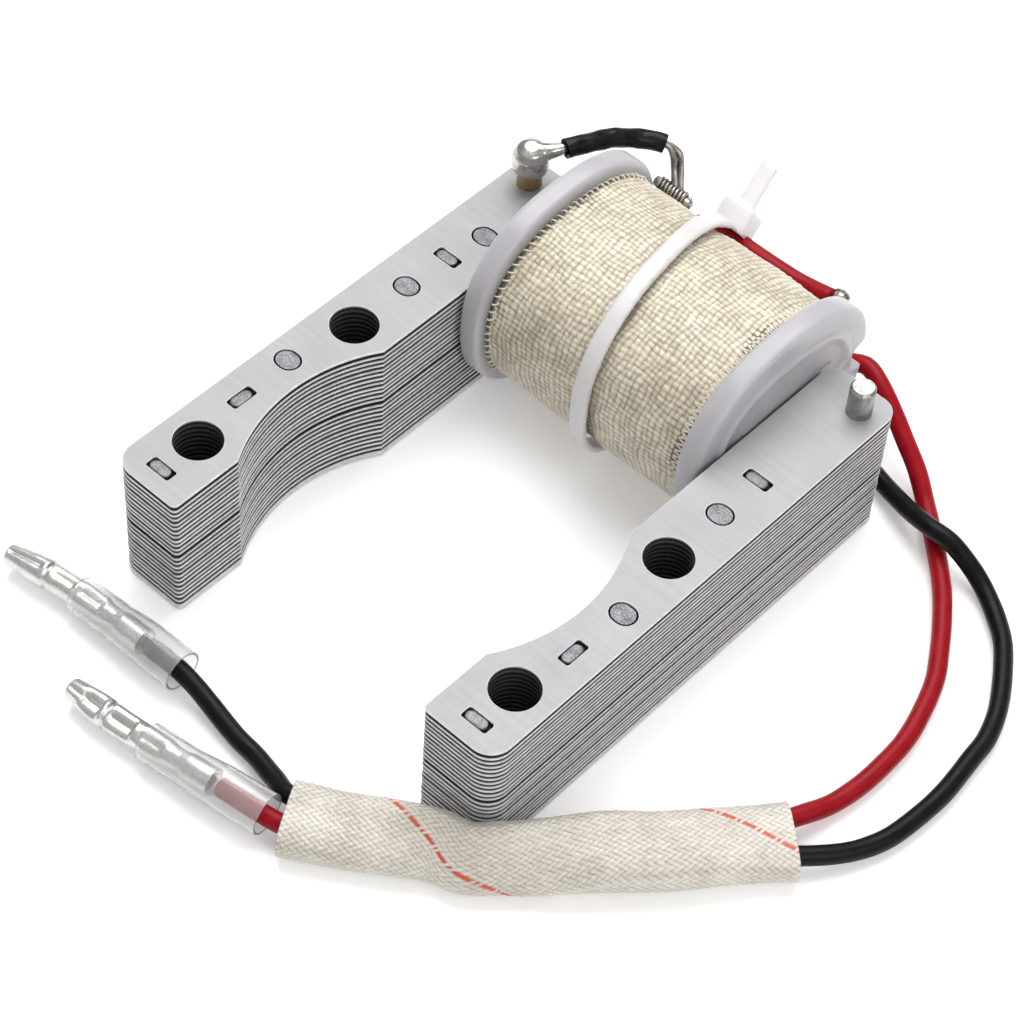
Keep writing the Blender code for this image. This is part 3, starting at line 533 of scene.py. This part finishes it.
# Outline of a leg seen from above: four rounded corners, and a scoop of the pole radius.
def legOutline(side):
    p = legPlan
    reach = math.degrees(math.acos(p["innerX"] / p["poleRadius"]))
    outline = np.vstack([
        arc(p["innerX"] + p["frontInner"], p["front"] + p["frontInner"], p["frontInner"], 180, 270, 6),
        arc(p["outerX"] - p["frontOuter"], p["front"] + p["frontOuter"], p["frontOuter"], 270, 360, 12),
        arc(p["outerX"] - p["backOuter"], p["back"] - p["backOuter"], p["backOuter"], 0, 90, 12),
        arc(p["innerX"] + p["backInner"], p["back"] - p["backInner"], p["backInner"], 90, 180, 10),
        arc(0, 0, p["poleRadius"], reach, -reach, 28)])
    return outline if side > 0 else (outline * [-1, 1])[::-1]


# Rounded slot with its long way along X, or along Y if turned, run clockwise for a hole.
def slotOutline(x, y, size, turned, corner, room=0.0):
    long, wide = size[0] / 2 + room, size[1] / 2 + room
    corner = min(corner + room, wide)
    shape = np.vstack([arc(sx * (long - corner), sy * (wide - corner), corner, start, start + 90, 6)
                       for sx, sy, start in ((1, 1, 0), (-1, 1, 90), (-1, -1, 180), (1, -1, 270))])
    if turned:
        shape = shape[:, ::-1] * [1, -1]
    return (shape + [x, y])[::-1]


# Each sheet's edge is a low wall that starts inside the gap under it, steps out to the cut
# face, and turns in at its top. The walls of the outline and of every hole run up the stack,
# and a flat cap closes the bottom and the top.
def sheetStack(name, outlines, low, high, count, seed, node):
    random = np.random.default_rng(seed)
    thick = (high - low) / count
    share, depth = legPlan["gapShare"], legPlan["gapDepth"]
    isLowest, isTop = low < 1, high > 19
    shift = random.uniform(0, 0.07, count)
    shade = random.uniform(0, 1, count)
    heights, insets, gaps = [], [], []
    for sheet in range(count):
        base = low + sheet * thick
        inside = depth + shift[sheet]
        grounded = sheet == 0 and isLowest               # only the lowest sheet has no gap under it
        first = 0.0 if grounded else share
        heights += [base, base + first * thick * 0.92, base + first * thick + 0.03,
                    base + 0.93 * thick, base + thick]
        insets += [0.05 if grounded else inside, 0.02 if grounded else inside,
                   shift[sheet] + 0.02, shift[sheet], shift[sheet] + 0.09]
        # the gap mark paints shade into the gap under each sheet and along its top edge, and lightly where
        # the lowest sheet meets the floor
        gaps += [0.3 if grounded else 1.0, 0.0 if grounded else 1.0, 0.0, 0.0, 0.1 if isTop else 0.8]
    shades = np.repeat(shade, 5)
    heights, insets = np.array(heights), np.array(insets)
    points, faces, gapShadeMarks, shadeMarks, boreShadeMarks = [], [], [], [], []
    bottoms, tops, start = [], [], 0
    rings = len(heights)
    for number, outline in enumerate(outlines):
        after, before = np.roll(outline, -1, axis=0), np.roll(outline, 1, axis=0)
        along = after - before
        inward = np.stack([-along[:, 1], along[:, 0]], axis=1)
        inward /= np.linalg.norm(inward, axis=1)[:, None]
        flat = outline[None] + inward[None] * insets[:, None, None]
        columns = len(outline)
        upright = np.broadcast_to(heights[:, None, None], (rings, columns, 1))
        grid = np.concatenate([flat, upright], axis=2)
        index = start + np.arange(rings * columns).reshape(rings, columns)
        a, b = index[:-1], np.roll(index, -1, axis=1)[:-1]
        c, d = np.roll(index, -1, axis=1)[1:], index[1:]
        faces += np.stack([a, b, c, d], axis=-1).reshape(-1, 4).tolist()
        points.append(grid.reshape(-1, 3))
        gapShadeMarks.append(np.repeat(gaps, columns))
        shadeMarks.append(np.repeat(shades, columns))
        # the bore mark paints shade down every hole's wall: full in the two packs, growing downwards in the
        # top sheet
        deep = np.clip((high - 0.1 - heights) / 1.2 + (not isTop), 0, 1)
        boreShadeMarks.append(np.repeat(0.93 * deep if number else 0 * deep, columns))
        bottoms.append(index[0])
        tops.append(index[-1])
        start += rings * columns
    points = np.vstack(points)
    capPoints = []                                       # a cap has its own corners and marks
    corner = np.zeros(start, int)
    for ends, up in ((bottoms, False), (tops, True)):
        loops = [points[ring] for ring in ends]
        flat = np.concatenate(ends)
        triangles = np.array(tessellate_polygon([[tuple(p) for p in loop] for loop in loops]))
        cap = flat[triangles]
        shape = points[cap]
        facing = np.cross(shape[:, 1] - shape[:, 0], shape[:, 2] - shape[:, 0])[:, 2] > 0
        cap[facing != up] = cap[facing != up][:, ::-1]
        corner[flat] = start + len(capPoints) + np.arange(len(flat))
        capPoints += points[flat].tolist()
        faces += corner[cap].tolist()
    extra = len(capPoints)
    points = np.vstack([points, np.array(capPoints)])
    # every cap but the top sheet's is painted near-black as shade
    marks = {"gap": np.append(np.concatenate(gapShadeMarks), np.full(extra, 0.0 if isTop else 0.9)),
             "sheetShade": np.append(np.concatenate(shadeMarks), np.zeros(extra)),
             "cut": np.append(np.ones(start), np.zeros(extra)),
             "bore": np.append(np.concatenate(boreShadeMarks), np.zeros(extra))}
    return keep(meshPiece(name, points, faces, steel, marks, 32), "steel_sheet", node)


# A lanced tab is a low pad with round ends: its outline shrinks as it rises to its flat top.
def addTab(name, x, y, turned):
    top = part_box("left_leg_top_sheet")[1].z * 1000 - legPlan["tabSunk"]
    x, y = x - 0.12 * (not turned), y - 0.1 * turned     # a tab sits a little off its window's middle
    rings = []
    for shrink, height in ((0.0, -0.62), (0.0, -0.2), (0.03, -0.06), (0.1, -0.01), (0.3, 0.0)):
        outline = slotOutline(x, y, legPlan["tabSize"], turned, 9, -shrink)
        rings.append(np.column_stack([outline, np.full(len(outline), top + height)]))
    keep(gridPiece(name, np.array(rings), tabSteel, sharp=50), "steel_sheet")


# A leg is three stacks of sheets with the same holes, and tabs in the windows of the top one.
def addLeg(word, side):
    p = legPlan
    outer = legOutline(side)
    holes = [arc(x * side, y, p["boltRadius"], 360, 0, 41)[:-1] for x, y in p["bolts"]]
    rivets = p["rivets"] if side < 0 else p["rivets"][:2]       # only the left leg has a rear rivet
    holes += [slotOutline(x * side, y, p["rivetSize"], False, 9, p["rivetRoom"]) for x, y in rivets]
    windows = [(x * side, y, False) for x, y in p["across"]]
    windows += [(x * side, y, True) for x, y in p["lengthwise"]]
    for number, (x, y, turned) in enumerate(windows):
        addTab(f"{word}InterlockTab{number + 1}", x, y, turned)
    windows = [slotOutline(x, y, p["windowSize"], turned, 0.3) for x, y, turned in windows]
    for part, count, seed, extra in (("lower_pack", 12, 3, []), ("upper_pack", 11, 4, []),
                                     ("top_sheet", 1, 5, windows)):
        node = f"{word}_leg_{part}"
        low, high = (corner.z * 1000 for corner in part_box(node))
        name = word + "Leg" + part.title().replace("_", "")
        sheetStack(name, [outer] + holes + extra, low, high, count, seed + (side > 0) * 10, node)


addLeg("left", -1)
addLeg("right", 1)
print("legs stacked")

bobbinPlan = {"axisY": 40.7, "axisZ": 14.45, "inner": 15.7, "outer": 19.2, "halfY": 16.4,
              "halfZ": 14.3, "bend": 2.4, "rim": 3.3, "step": 0.4, "tubeY": 10.2, "tubeZ": 6.75,
              "boreY": 8.3, "boreZ": 4.8, "boreBend": 9, "lip": 0.8, "notchDeep": 2.4, "notchHigh": 4.6}


# Radius of a squared oval at an angle: the powers of both coordinates over its halves add to one.
def ovalRadius(angle, halfY, halfZ, bend):
    return (np.abs(np.cos(angle) / halfY) ** bend + np.abs(np.sin(angle) / halfZ) ** bend) ** (-1 / bend)


# A flange is a ring: its section runs out over the raised oval and the rim, round the edge,
# back along the inner face, and through the bore to a thin lip over the crossbar's end.
def flangePoints(side):
    p = bobbinPlan
    angle = np.linspace(0, 2 * math.pi, 240, endpoint=False)
    edge = ovalRadius(angle, p["halfY"], p["halfZ"], p["bend"])
    bore = ovalRadius(angle, p["boreY"], p["boreZ"], p["boreBend"])
    lip = ovalRadius(angle, p["boreY"] - p["lip"], p["boreZ"] - p["lip"], p["boreBend"])
    if side > 0:                                     # the notch behind the right flange
        lift = np.abs(edge * np.sin(angle))
        near = np.clip((p["notchHigh"] / 2 + 0.3 - lift) / 0.6, 0, 1) * (np.cos(angle) > 0)
        edge = edge - p["notchDeep"] * near
    section = [("lip", -0.03), (p["rim"] + 2.0, 0.35), (p["rim"] + 1.5, 0.24), (p["rim"] + 1.1, 0.06),
               (p["rim"] + 0.8, 0.0), (p["rim"] + 0.5, 0.03), (p["rim"] + 0.2, 0.16),
               (p["rim"], 0.34), (p["rim"] - 0.25, p["step"]), (1.2, p["step"]), (0.55, p["step"] + 0.03),
               (0.18, p["step"] + 0.18), (0.02, p["step"] + 0.45), (0.0, 1.4), (0.0, 2.9), (0.12, 3.25),
               (0.45, 3.46), (1.0, 3.5), (5.0, 3.5), ("bore", 3.5), ("bore", 0.0)]
    rows = []
    for inset, deep in section:
        radius = {"lip": lip, "bore": bore}[inset] if isinstance(inset, str) else edge - inset
        rows.append(np.stack([np.full_like(angle, side * (p["outer"] - deep)),
                              p["axisY"] + radius * np.cos(angle),
                              p["axisZ"] + radius * np.sin(angle)], axis=1))
    return np.array(rows)


# The tube between the flanges: its outer wall one way, then its bore back.
def tubePoints():
    p = bobbinPlan
    angle = np.linspace(0, 2 * math.pi, 120, endpoint=False)
    rows = []
    reach = p["inner"] + 0.02                            # a little way into each flange
    tube, bore = (p["tubeY"], p["tubeZ"], 5), (p["boreY"], p["boreZ"], p["boreBend"])
    for half, sizes in ((reach, tube), (-reach, tube), (-reach, bore), (reach, bore)):
        radius = ovalRadius(angle, *sizes)
        rows.append(np.stack([np.full_like(angle, half), p["axisY"] + radius * np.cos(angle),
                              p["axisZ"] + radius * np.sin(angle)], axis=1))
    return np.array(rows)


for word, grid, sharp in (("bobbinLeftFlange", flangePoints(-1), 50),
                          ("bobbinRightFlange", flangePoints(1), 50),
                          ("bobbinTube", tubePoints(), 30)):
    keep(gridPiece(word, grid, nylon, closeRows=True, sharp=sharp), "nylon", "bobbin")
print("bobbin moulded")

tapePlan = {"halfWidth": 15.4, "halfY": 15.4, "halfZ": 12.8, "bend": 2.3, "thick": 0.5,
            "pitchAcross": 0.80, "pitchAround": 0.74, "crown": 0.15, "step": 0.175, "columns": 540,
            "wander": 0.25, "lapAt": 69, "tieAt": -1.35, "tieSlant": 0.13}


# Plain weave: warp and weft threads are half-round ribs, and where their numbers add up
# to even the warp lies on top, else the weft does. Slow waves move the threads sideways.
def weaveHeight(u, v, pitchU, pitchV, wander):
    driftU = np.sin(v * 0.31 + 1.3) + 0.7 * np.sin(v * 1.1 + u * 0.7) + 0.5 * np.sin(u * 1.9 - v * 0.6)
    driftV = np.sin(u * 0.23 + 0.4) + 0.7 * np.sin(u * 0.9 - v * 0.8) + 0.5 * np.sin(v * 1.7 + u * 0.5)
    a = u / pitchU + wander * driftU
    b = v / pitchV + wander * driftV
    over = (np.floor(a) + np.floor(b)) % 2
    acrossU = np.abs(np.sin(math.pi * a))
    acrossV = np.abs(np.sin(math.pi * b))
    warp = acrossU**0.8 * (0.35 + 0.65 * acrossV**0.7)
    weft = acrossV**0.8 * (0.35 + 0.65 * acrossU**0.7)
    uneven = 0.80 + 0.20 * np.sin(12.9 * np.floor(a) + 78.2 * np.floor(b) + 3.7 * np.floor(a) * np.floor(b))
    return np.where(over > 0, warp, weft) * uneven


# The tape is the winding's oval, raised by the weave, slack in waves, and pinched by the tie.
def addTape():
    p = tapePlan
    axisY, axisZ = bobbinPlan["axisY"], bobbinPlan["axisZ"]
    angle = np.linspace(0, 2 * math.pi, p["columns"], endpoint=False)
    radius = ovalRadius(angle, p["halfY"], p["halfZ"], p["bend"])
    section = np.stack([radius * np.cos(angle), radius * np.sin(angle)])
    around = np.append(0, np.cumsum(np.hypot(*np.diff(section, axis=1))))
    x = np.arange(-p["halfWidth"], p["halfWidth"] + 0.01, p["step"])
    u, v = np.meshgrid(x, around, indexing="ij")
    crown = weaveHeight(u, v, p["pitchAcross"], p["pitchAround"], p["wander"])
    overlap = np.clip(1 - np.abs(v - p["lapAt"] + 0.1 * u) / 5, 0, 1) * np.clip((9 - np.abs(u)) / 6, 0, 1)
    crown = crown * (1 - 0.8 * overlap) + 0.55 * overlap              # varnish fills the weave at the lap
    slack = 0.10 * np.sin(v * 0.33 + 0.5 + 0.2 * u) * np.sin(u * 0.47 + 1.0)
    pinch = 0.35 * np.exp(-((u - p["tieAt"] + p["tieSlant"] * section[:1]) / 1.9) ** 2)
    barrel = 0.30 * (np.abs(u) / p["halfWidth"]) ** 3
    rise = p["crown"] * (crown - 1) - 0.1 + slack - pinch - barrel
    edgeFall = np.clip((np.abs(u) - p["halfWidth"] + 0.5) / 0.5, 0, 1) ** 2 * 0.18
    out = radius[None] + rise - edgeFall
    outer = np.stack([u, axisY + out * np.cos(angle), axisZ + out * np.sin(angle)], axis=2)
    under = (radius - p["thick"])[None] + 0 * u[[0, -1]]
    inner = np.stack([u[[-1, 0]], axisY + under * np.cos(angle), axisZ + under * np.sin(angle)], axis=2)
    grid = np.concatenate([outer, inner])
    # the crown mark also sets the painted shade in the weave's dips
    marks = {"crown": np.concatenate([crown, 0 * crown[:2]])}
    piece = gridPiece("glassClothTape", grid, tapeCloth, closeRows=True, marks=marks)
    keep(piece, "glass_cloth", "glass_cloth_tape")
    # Looped selvedge: a thin thread runs round the left edge in small rings. On the right
    # edge the cut threads stand out in a saw line.
    t = np.linspace(0, 2 * math.pi, 1500, endpoint=False)
    edge = ovalRadius(t, p["halfY"], p["halfZ"], p["bend"]) - 0.50
    ring = t * 84
    out = edge + 0.42 * np.sin(ring) + 0.06 * np.sin(t * 37)
    leftPath = np.stack([-p["halfWidth"] + 0.22 + 0.42 * np.cos(ring),
                         axisY + out * np.cos(t + 0.004 * np.cos(ring)),
                         axisZ + out * np.sin(t)], axis=1)
    t = np.linspace(0, 2 * math.pi, 700, endpoint=False)
    edge = ovalRadius(t, p["halfY"], p["halfZ"], p["bend"]) - 0.42
    saw = np.abs(((t * 100 / math.pi) % 2) - 1)
    rightPath = np.stack([p["halfWidth"] - 1.25 + 1.35 * saw, axisY + (edge - 0.1 * saw) * np.cos(t),
                          axisZ + (edge - 0.1 * saw) * np.sin(t)], axis=1)
    for name, line, thick in (("tapeSelvedge", leftPath, 0.11), ("tapeCutThreads", rightPath, 0.13)):
        marks = {"crown": np.full((len(line) + 2, 6), 0.85)}
        keep(tubePiece(name, line, thick, tapeCloth, 6, marks=marks, up=(1, 0, 0)), "glass_cloth")


addTape()
print("tape wound")

# Each station is a place, then half the width, half the height and the tilt in degrees.
sleevePlan = {"stations": ((11.4, -34.9, 2.5, 5.3, 2.35, 4), (16.8, -31.9, 2.7, 4.7, 2.2, 10),
    (22.7, -28.4, 3.4, 4.4, 2.15, 28), (26.4, -26.4, 3.8, 4.2, 2.1, 45),
    (30, -25.4, 4.1, 4.2, 2.1, 50), (32.8, -22.6, 4.1, 4.2, 2.1, 50),
    (35, -20.1, 3.8, 4.3, 2.4, 40), (39.9, -14.2, 3.8, 4.5, 3.4, 15),
    (44.5, -9.3, 3.5, 4.5, 3.3, 5), (48.7, -3.8, 3, 4.7, 2.8, 0), (51.5, -0.1, 2.55, 5, 2.4, 0),
    (53.9, 2.7, 2.45, 5.5, 2.35, 0)), "bend": 3.0, "wall": 0.4, "threads": 34, "lead": 36.0,
    "crown": 0.15, "tracerStart": 10.0, "step": 0.13, "columns": 190}


# The braid's surface is the stations' flattened oval, with ribs that run both ways round
# it and pass over each other in turn, and one coloured tracer thread.
def addSleeve():
    p = sleevePlan
    stations = smoothRows(p["stations"], p["step"])
    path = stations[:, :3]
    along = np.arange(len(path)) * p["step"]
    tangents, side, ups = pathFrames(path)
    tip = np.radians(stations[:, 5])[:, None]
    wide = side * np.cos(tip) + ups * np.sin(tip)
    high = -side * np.sin(tip) + ups * np.cos(tip)
    bend = 2 / p["bend"]
    fine = np.linspace(0, 2 * math.pi, 4001)                    # even steps round a typical section
    y = 5.0 * np.sign(np.cos(fine)) * np.abs(np.cos(fine)) ** bend
    z = 2.5 * np.sign(np.sin(fine)) * np.abs(np.sin(fine)) ** bend
    far = np.append(0, np.cumsum(np.hypot(np.diff(y), np.diff(z))))
    angle = np.interp(np.linspace(0, far[-1], p["columns"], endpoint=False), far, fine)
    turn = np.arange(p["columns"]) / p["columns"]
    ends = np.exp(-along / 7) * 0.12 + np.exp(-(along[-1] - along) / 7) * 0.10
    across = np.sign(np.cos(angle)) * np.abs(np.cos(angle)) ** bend
    raised = np.sign(np.sin(angle)) * np.abs(np.sin(angle)) ** bend
    count = p["threads"]
    a = count * (turn[None] + along[:, None] / p["lead"])
    b = count * (turn[None] - (along[:, None] - p["tracerStart"]) / p["lead"])
    ribA = np.abs(np.sin(math.pi * a))
    ribB = np.abs(np.sin(math.pi * b))
    over = (np.floor(a) + np.floor(b)) % 4 < 2                 # each thread goes over two and under two
    endA = np.abs(np.sin(math.pi * (a + b) / 4 + 0.25 * math.pi))
    uneven = 0.85 + 0.15 * np.sin(12.9 * np.floor(a) + 7.2 * np.floor(b) * np.floor(a))
    overA = ribA**0.6 * (0.45 + 0.55 * ribB**0.5)
    overB = ribB**0.6 * (0.45 + 0.55 * ribA**0.5)
    crown = np.where(over, overA, overB) * uneven
    crown = crown * (0.8 + 0.2 * endA)
    tracer = (np.floor(b) % count == 0) & (ribB > 0.3) & (~over | (ribA < 0.7))
    drop = p["crown"] * (crown - 1)

    def shell(inset):
        w = (stations[:, 3] * (1 - ends))[:, None] + inset
        h = stations[:, 4][:, None] + inset
        return (path[:, None] + (w * across)[..., None] * wide[:, None]
                + (h * raised)[..., None] * high[:, None])

    outer = shell(drop)
    inner = shell(np.full_like(drop, -p["wall"]))[::-12]
    grid = np.concatenate([outer, inner])
    quiet = np.zeros((len(inner), p["columns"]))
    # the crown mark also sets the painted shade in the braid's dips
    marks = {"crown": np.concatenate([crown, quiet]),
             "tracer": np.concatenate([tracer.astype(float), quiet])}
    piece = gridPiece("braidedSleeve", grid, braidGlass, closeRows=True, marks=marks)
    keep(piece, "glass_braid", "braided_sleeve")


addSleeve()
print("sleeve braided")

# A copy of the node's solid is remeshed finely and smoothed, which rounds its edges as
# moulding or melting does. What lies beyond the lean's start, along its way, is shifted.
def softCopy(name, node, material, slot, voxel, rounds, lean=None):
    mesh = bpy.data.objects[node].data.copy()
    mesh.materials.clear()
    mesh.materials.append(material)
    piece = bpy.data.objects.new(name, mesh)
    bpy.context.scene.collection.objects.link(piece)
    weld = piece.modifiers.new("weld", "WELD")
    weld.merge_threshold = 1e-6
    remesh = piece.modifiers.new("remesh", "REMESH")
    remesh.mode = "VOXEL"
    remesh.voxel_size = voxel * 0.001
    smooth = piece.modifiers.new("smooth", "SMOOTH")
    smooth.factor = 0.6
    smooth.iterations = rounds
    graph = bpy.context.evaluated_depsgraph_get()
    made = bpy.data.meshes.new_from_object(piece.evaluated_get(graph))
    piece.modifiers.clear()
    piece.data = made
    made.polygons.foreach_set("use_smooth", np.ones(len(made.polygons), bool))
    if lean:
        points = np.empty(len(made.vertices) * 3)
        made.vertices.foreach_get("co", points)
        points = points.reshape(-1, 3)
        beyond = np.clip((points - toFrame(lean["start"])) @ np.array(lean["way"]) / 0.0015, 0, 1)
        points += beyond[:, None] * (np.array(lean["shift"]) * 0.001)
        made.vertices.foreach_set("co", points.ravel())
    made.update()
    return keep(piece, slot, node)


headLean = {"start": (-1.35, 55.3, 22.6), "way": (0, 0.848, 0.53), "shift": (-0.2, -1.7, -0.9)}
softCopy("cableTieStrap", "cable_tie", tieNylon, "nylon", 0.24, 13, headLean)
softCopy("leftPostSolder", "left_post_solder", solder, "solder", 0.16, 9)
coneLine = ((-26.5, 45.1, 24.2), (-25.3, 46.2, 24.6), (-24.2, 47.3, 25.0), (-23.0, 49.6, 24.95))
cone = smoothRows(coneLine, 0.2)
fall = np.linspace(0, 1, len(cone))                       # the solder thins along the wire
keep(tubePiece("leftPostSolderCone", cone, 0.60 + 1.0 * (1 - fall) ** 1.6, solder, 28), "solder")
print("tie and solder softened")

# The earth wire is bare at both ends, and its sleeving is a tube that creases where it bends.
earthRoute = ((-23.9, 47.4, 25.1), (-22.8, 50.2, 24.9), (-21.6, 54.3, 24.0), (-19.7, 58.0, 22.8),
              (-17.0, 60.0, 22.3), (-16.0, 60.3, 21.0), (-15.3, 60.0, 19.2), (-14.0, 58.9, 17.6))
earthPlan = {"wire": 0.5, "sleeving": 1.28, "bore": 0.82, "from": 0.9, "to": 15.0, "step": 0.25}
earthPath = smoothRows(earthRoute, earthPlan["step"])
keep(tubePiece("earthWire", earthPath, earthPlan["wire"], wireTin, 14), "tinned_metal", "earth_wire")
ends = [int(earthPlan[end] / earthPlan["step"]) for end in ("from", "to")]
near = earthPath[ends[0]:ends[1] + 1]
along = np.arange(len(near)) * earthPlan["step"]
angle = np.linspace(0, 2 * math.pi, 32, endpoint=False)
crease = 0.05 * np.sin(along[:, None] * 1.7 + 2 * np.sin(angle))
crease = crease * np.sin(3 * angle + along[:, None] * 0.5)
kink = 0.14 * np.exp(-((along[:, None] - 7.2) / 0.8) ** 2) * np.cos(angle + 1.2)
skin = earthPlan["sleeving"] + crease - kink
tangents, side, ups = pathFrames(near)
around = np.cos(angle)[None, :, None] * side[:, None] + np.sin(angle)[None, :, None] * ups[:, None]
outer = near[:, None] + skin[..., None] * around
inner = (near[:, None] + earthPlan["bore"] * around)[::-2]
keep(gridPiece("earthSleeving", np.concatenate([outer, inner]), sleevingVinyl, closeRows=True, sharp=60),
     "black_plastic", "earth_wire_sleeving")


# A loose strand is a thin round tube along a smooth curve through a few places.
def addStrand(name, places, radius, sides=8):
    path = smoothRows(places, max(radius * 0.8, 0.12))
    keep(tubePiece(name, path, radius, wireTin, sides), "tinned_metal")


addStrand("earthReturnWire", ((-17.0, 60.5, 22.1), (-15.4, 60.9, 21.2), (-14.7, 60.6, 19.5),
                              (-13.2, 59.0, 17.5)), 0.42)
bindingPlan = {"start": -16.0, "length": 4.4, "y": 58.3, "z": 17.3, "radius": 0.85, "turns": 8}
turns = np.linspace(0, 2 * bindingPlan["turns"] * math.pi, 260)
coil = np.stack([bindingPlan["start"] + bindingPlan["length"] * turns / turns[-1],
                 bindingPlan["y"] + bindingPlan["radius"] * np.cos(turns),
                 bindingPlan["z"] + bindingPlan["radius"] * np.sin(turns)], axis=1)
keep(tubePiece("earthBinding", coil, 0.24, wireTin, 8), "tinned_metal")
addStrand("earthBindingCore", ((-16.8, 58.3, 17.4), (-14.0, 58.3, 17.3), (-10.8, 58.2, 17.0)), 0.72, 14)
for number, (dx, dy, dz) in enumerate(((0.0, 0.0, 0.0), (0.25, 0.3, 0.25), (-0.4, 0.5, -0.15))):
    places = ((12.2, 57.3 + dy, 18.7 + dz), (13.1 + dx, 57.4 + dy, 20.1 + dz),
              (14.0 + dx, 57.2 + dy, 20.7 + dz), (14.8 + dx, 57.0 + dy, 20.3 + dz))
    addStrand(f"redLeadStrand{number + 1}", places, 0.19)
print("earth wire and strands laid")

# The small pieces that keep their solids only take a finish.
for node in ("left_leg_front_rivet", "left_leg_middle_rivet", "left_leg_rear_rivet",
             "right_leg_front_rivet", "right_leg_middle_rivet"):
    paint(node, rivetSteel)
paint("left_solder_post", brass)
paint("right_solder_post", postTin)
for node in ("earth_terminal_joint", "red_lead_joint", "red_lead_bared_end", "black_lead_bared_end"):
    paint(node, wireTin)
paint("enamelled_winding", copper)
paint("crossbar_laminations", steel)
print("finishes given")
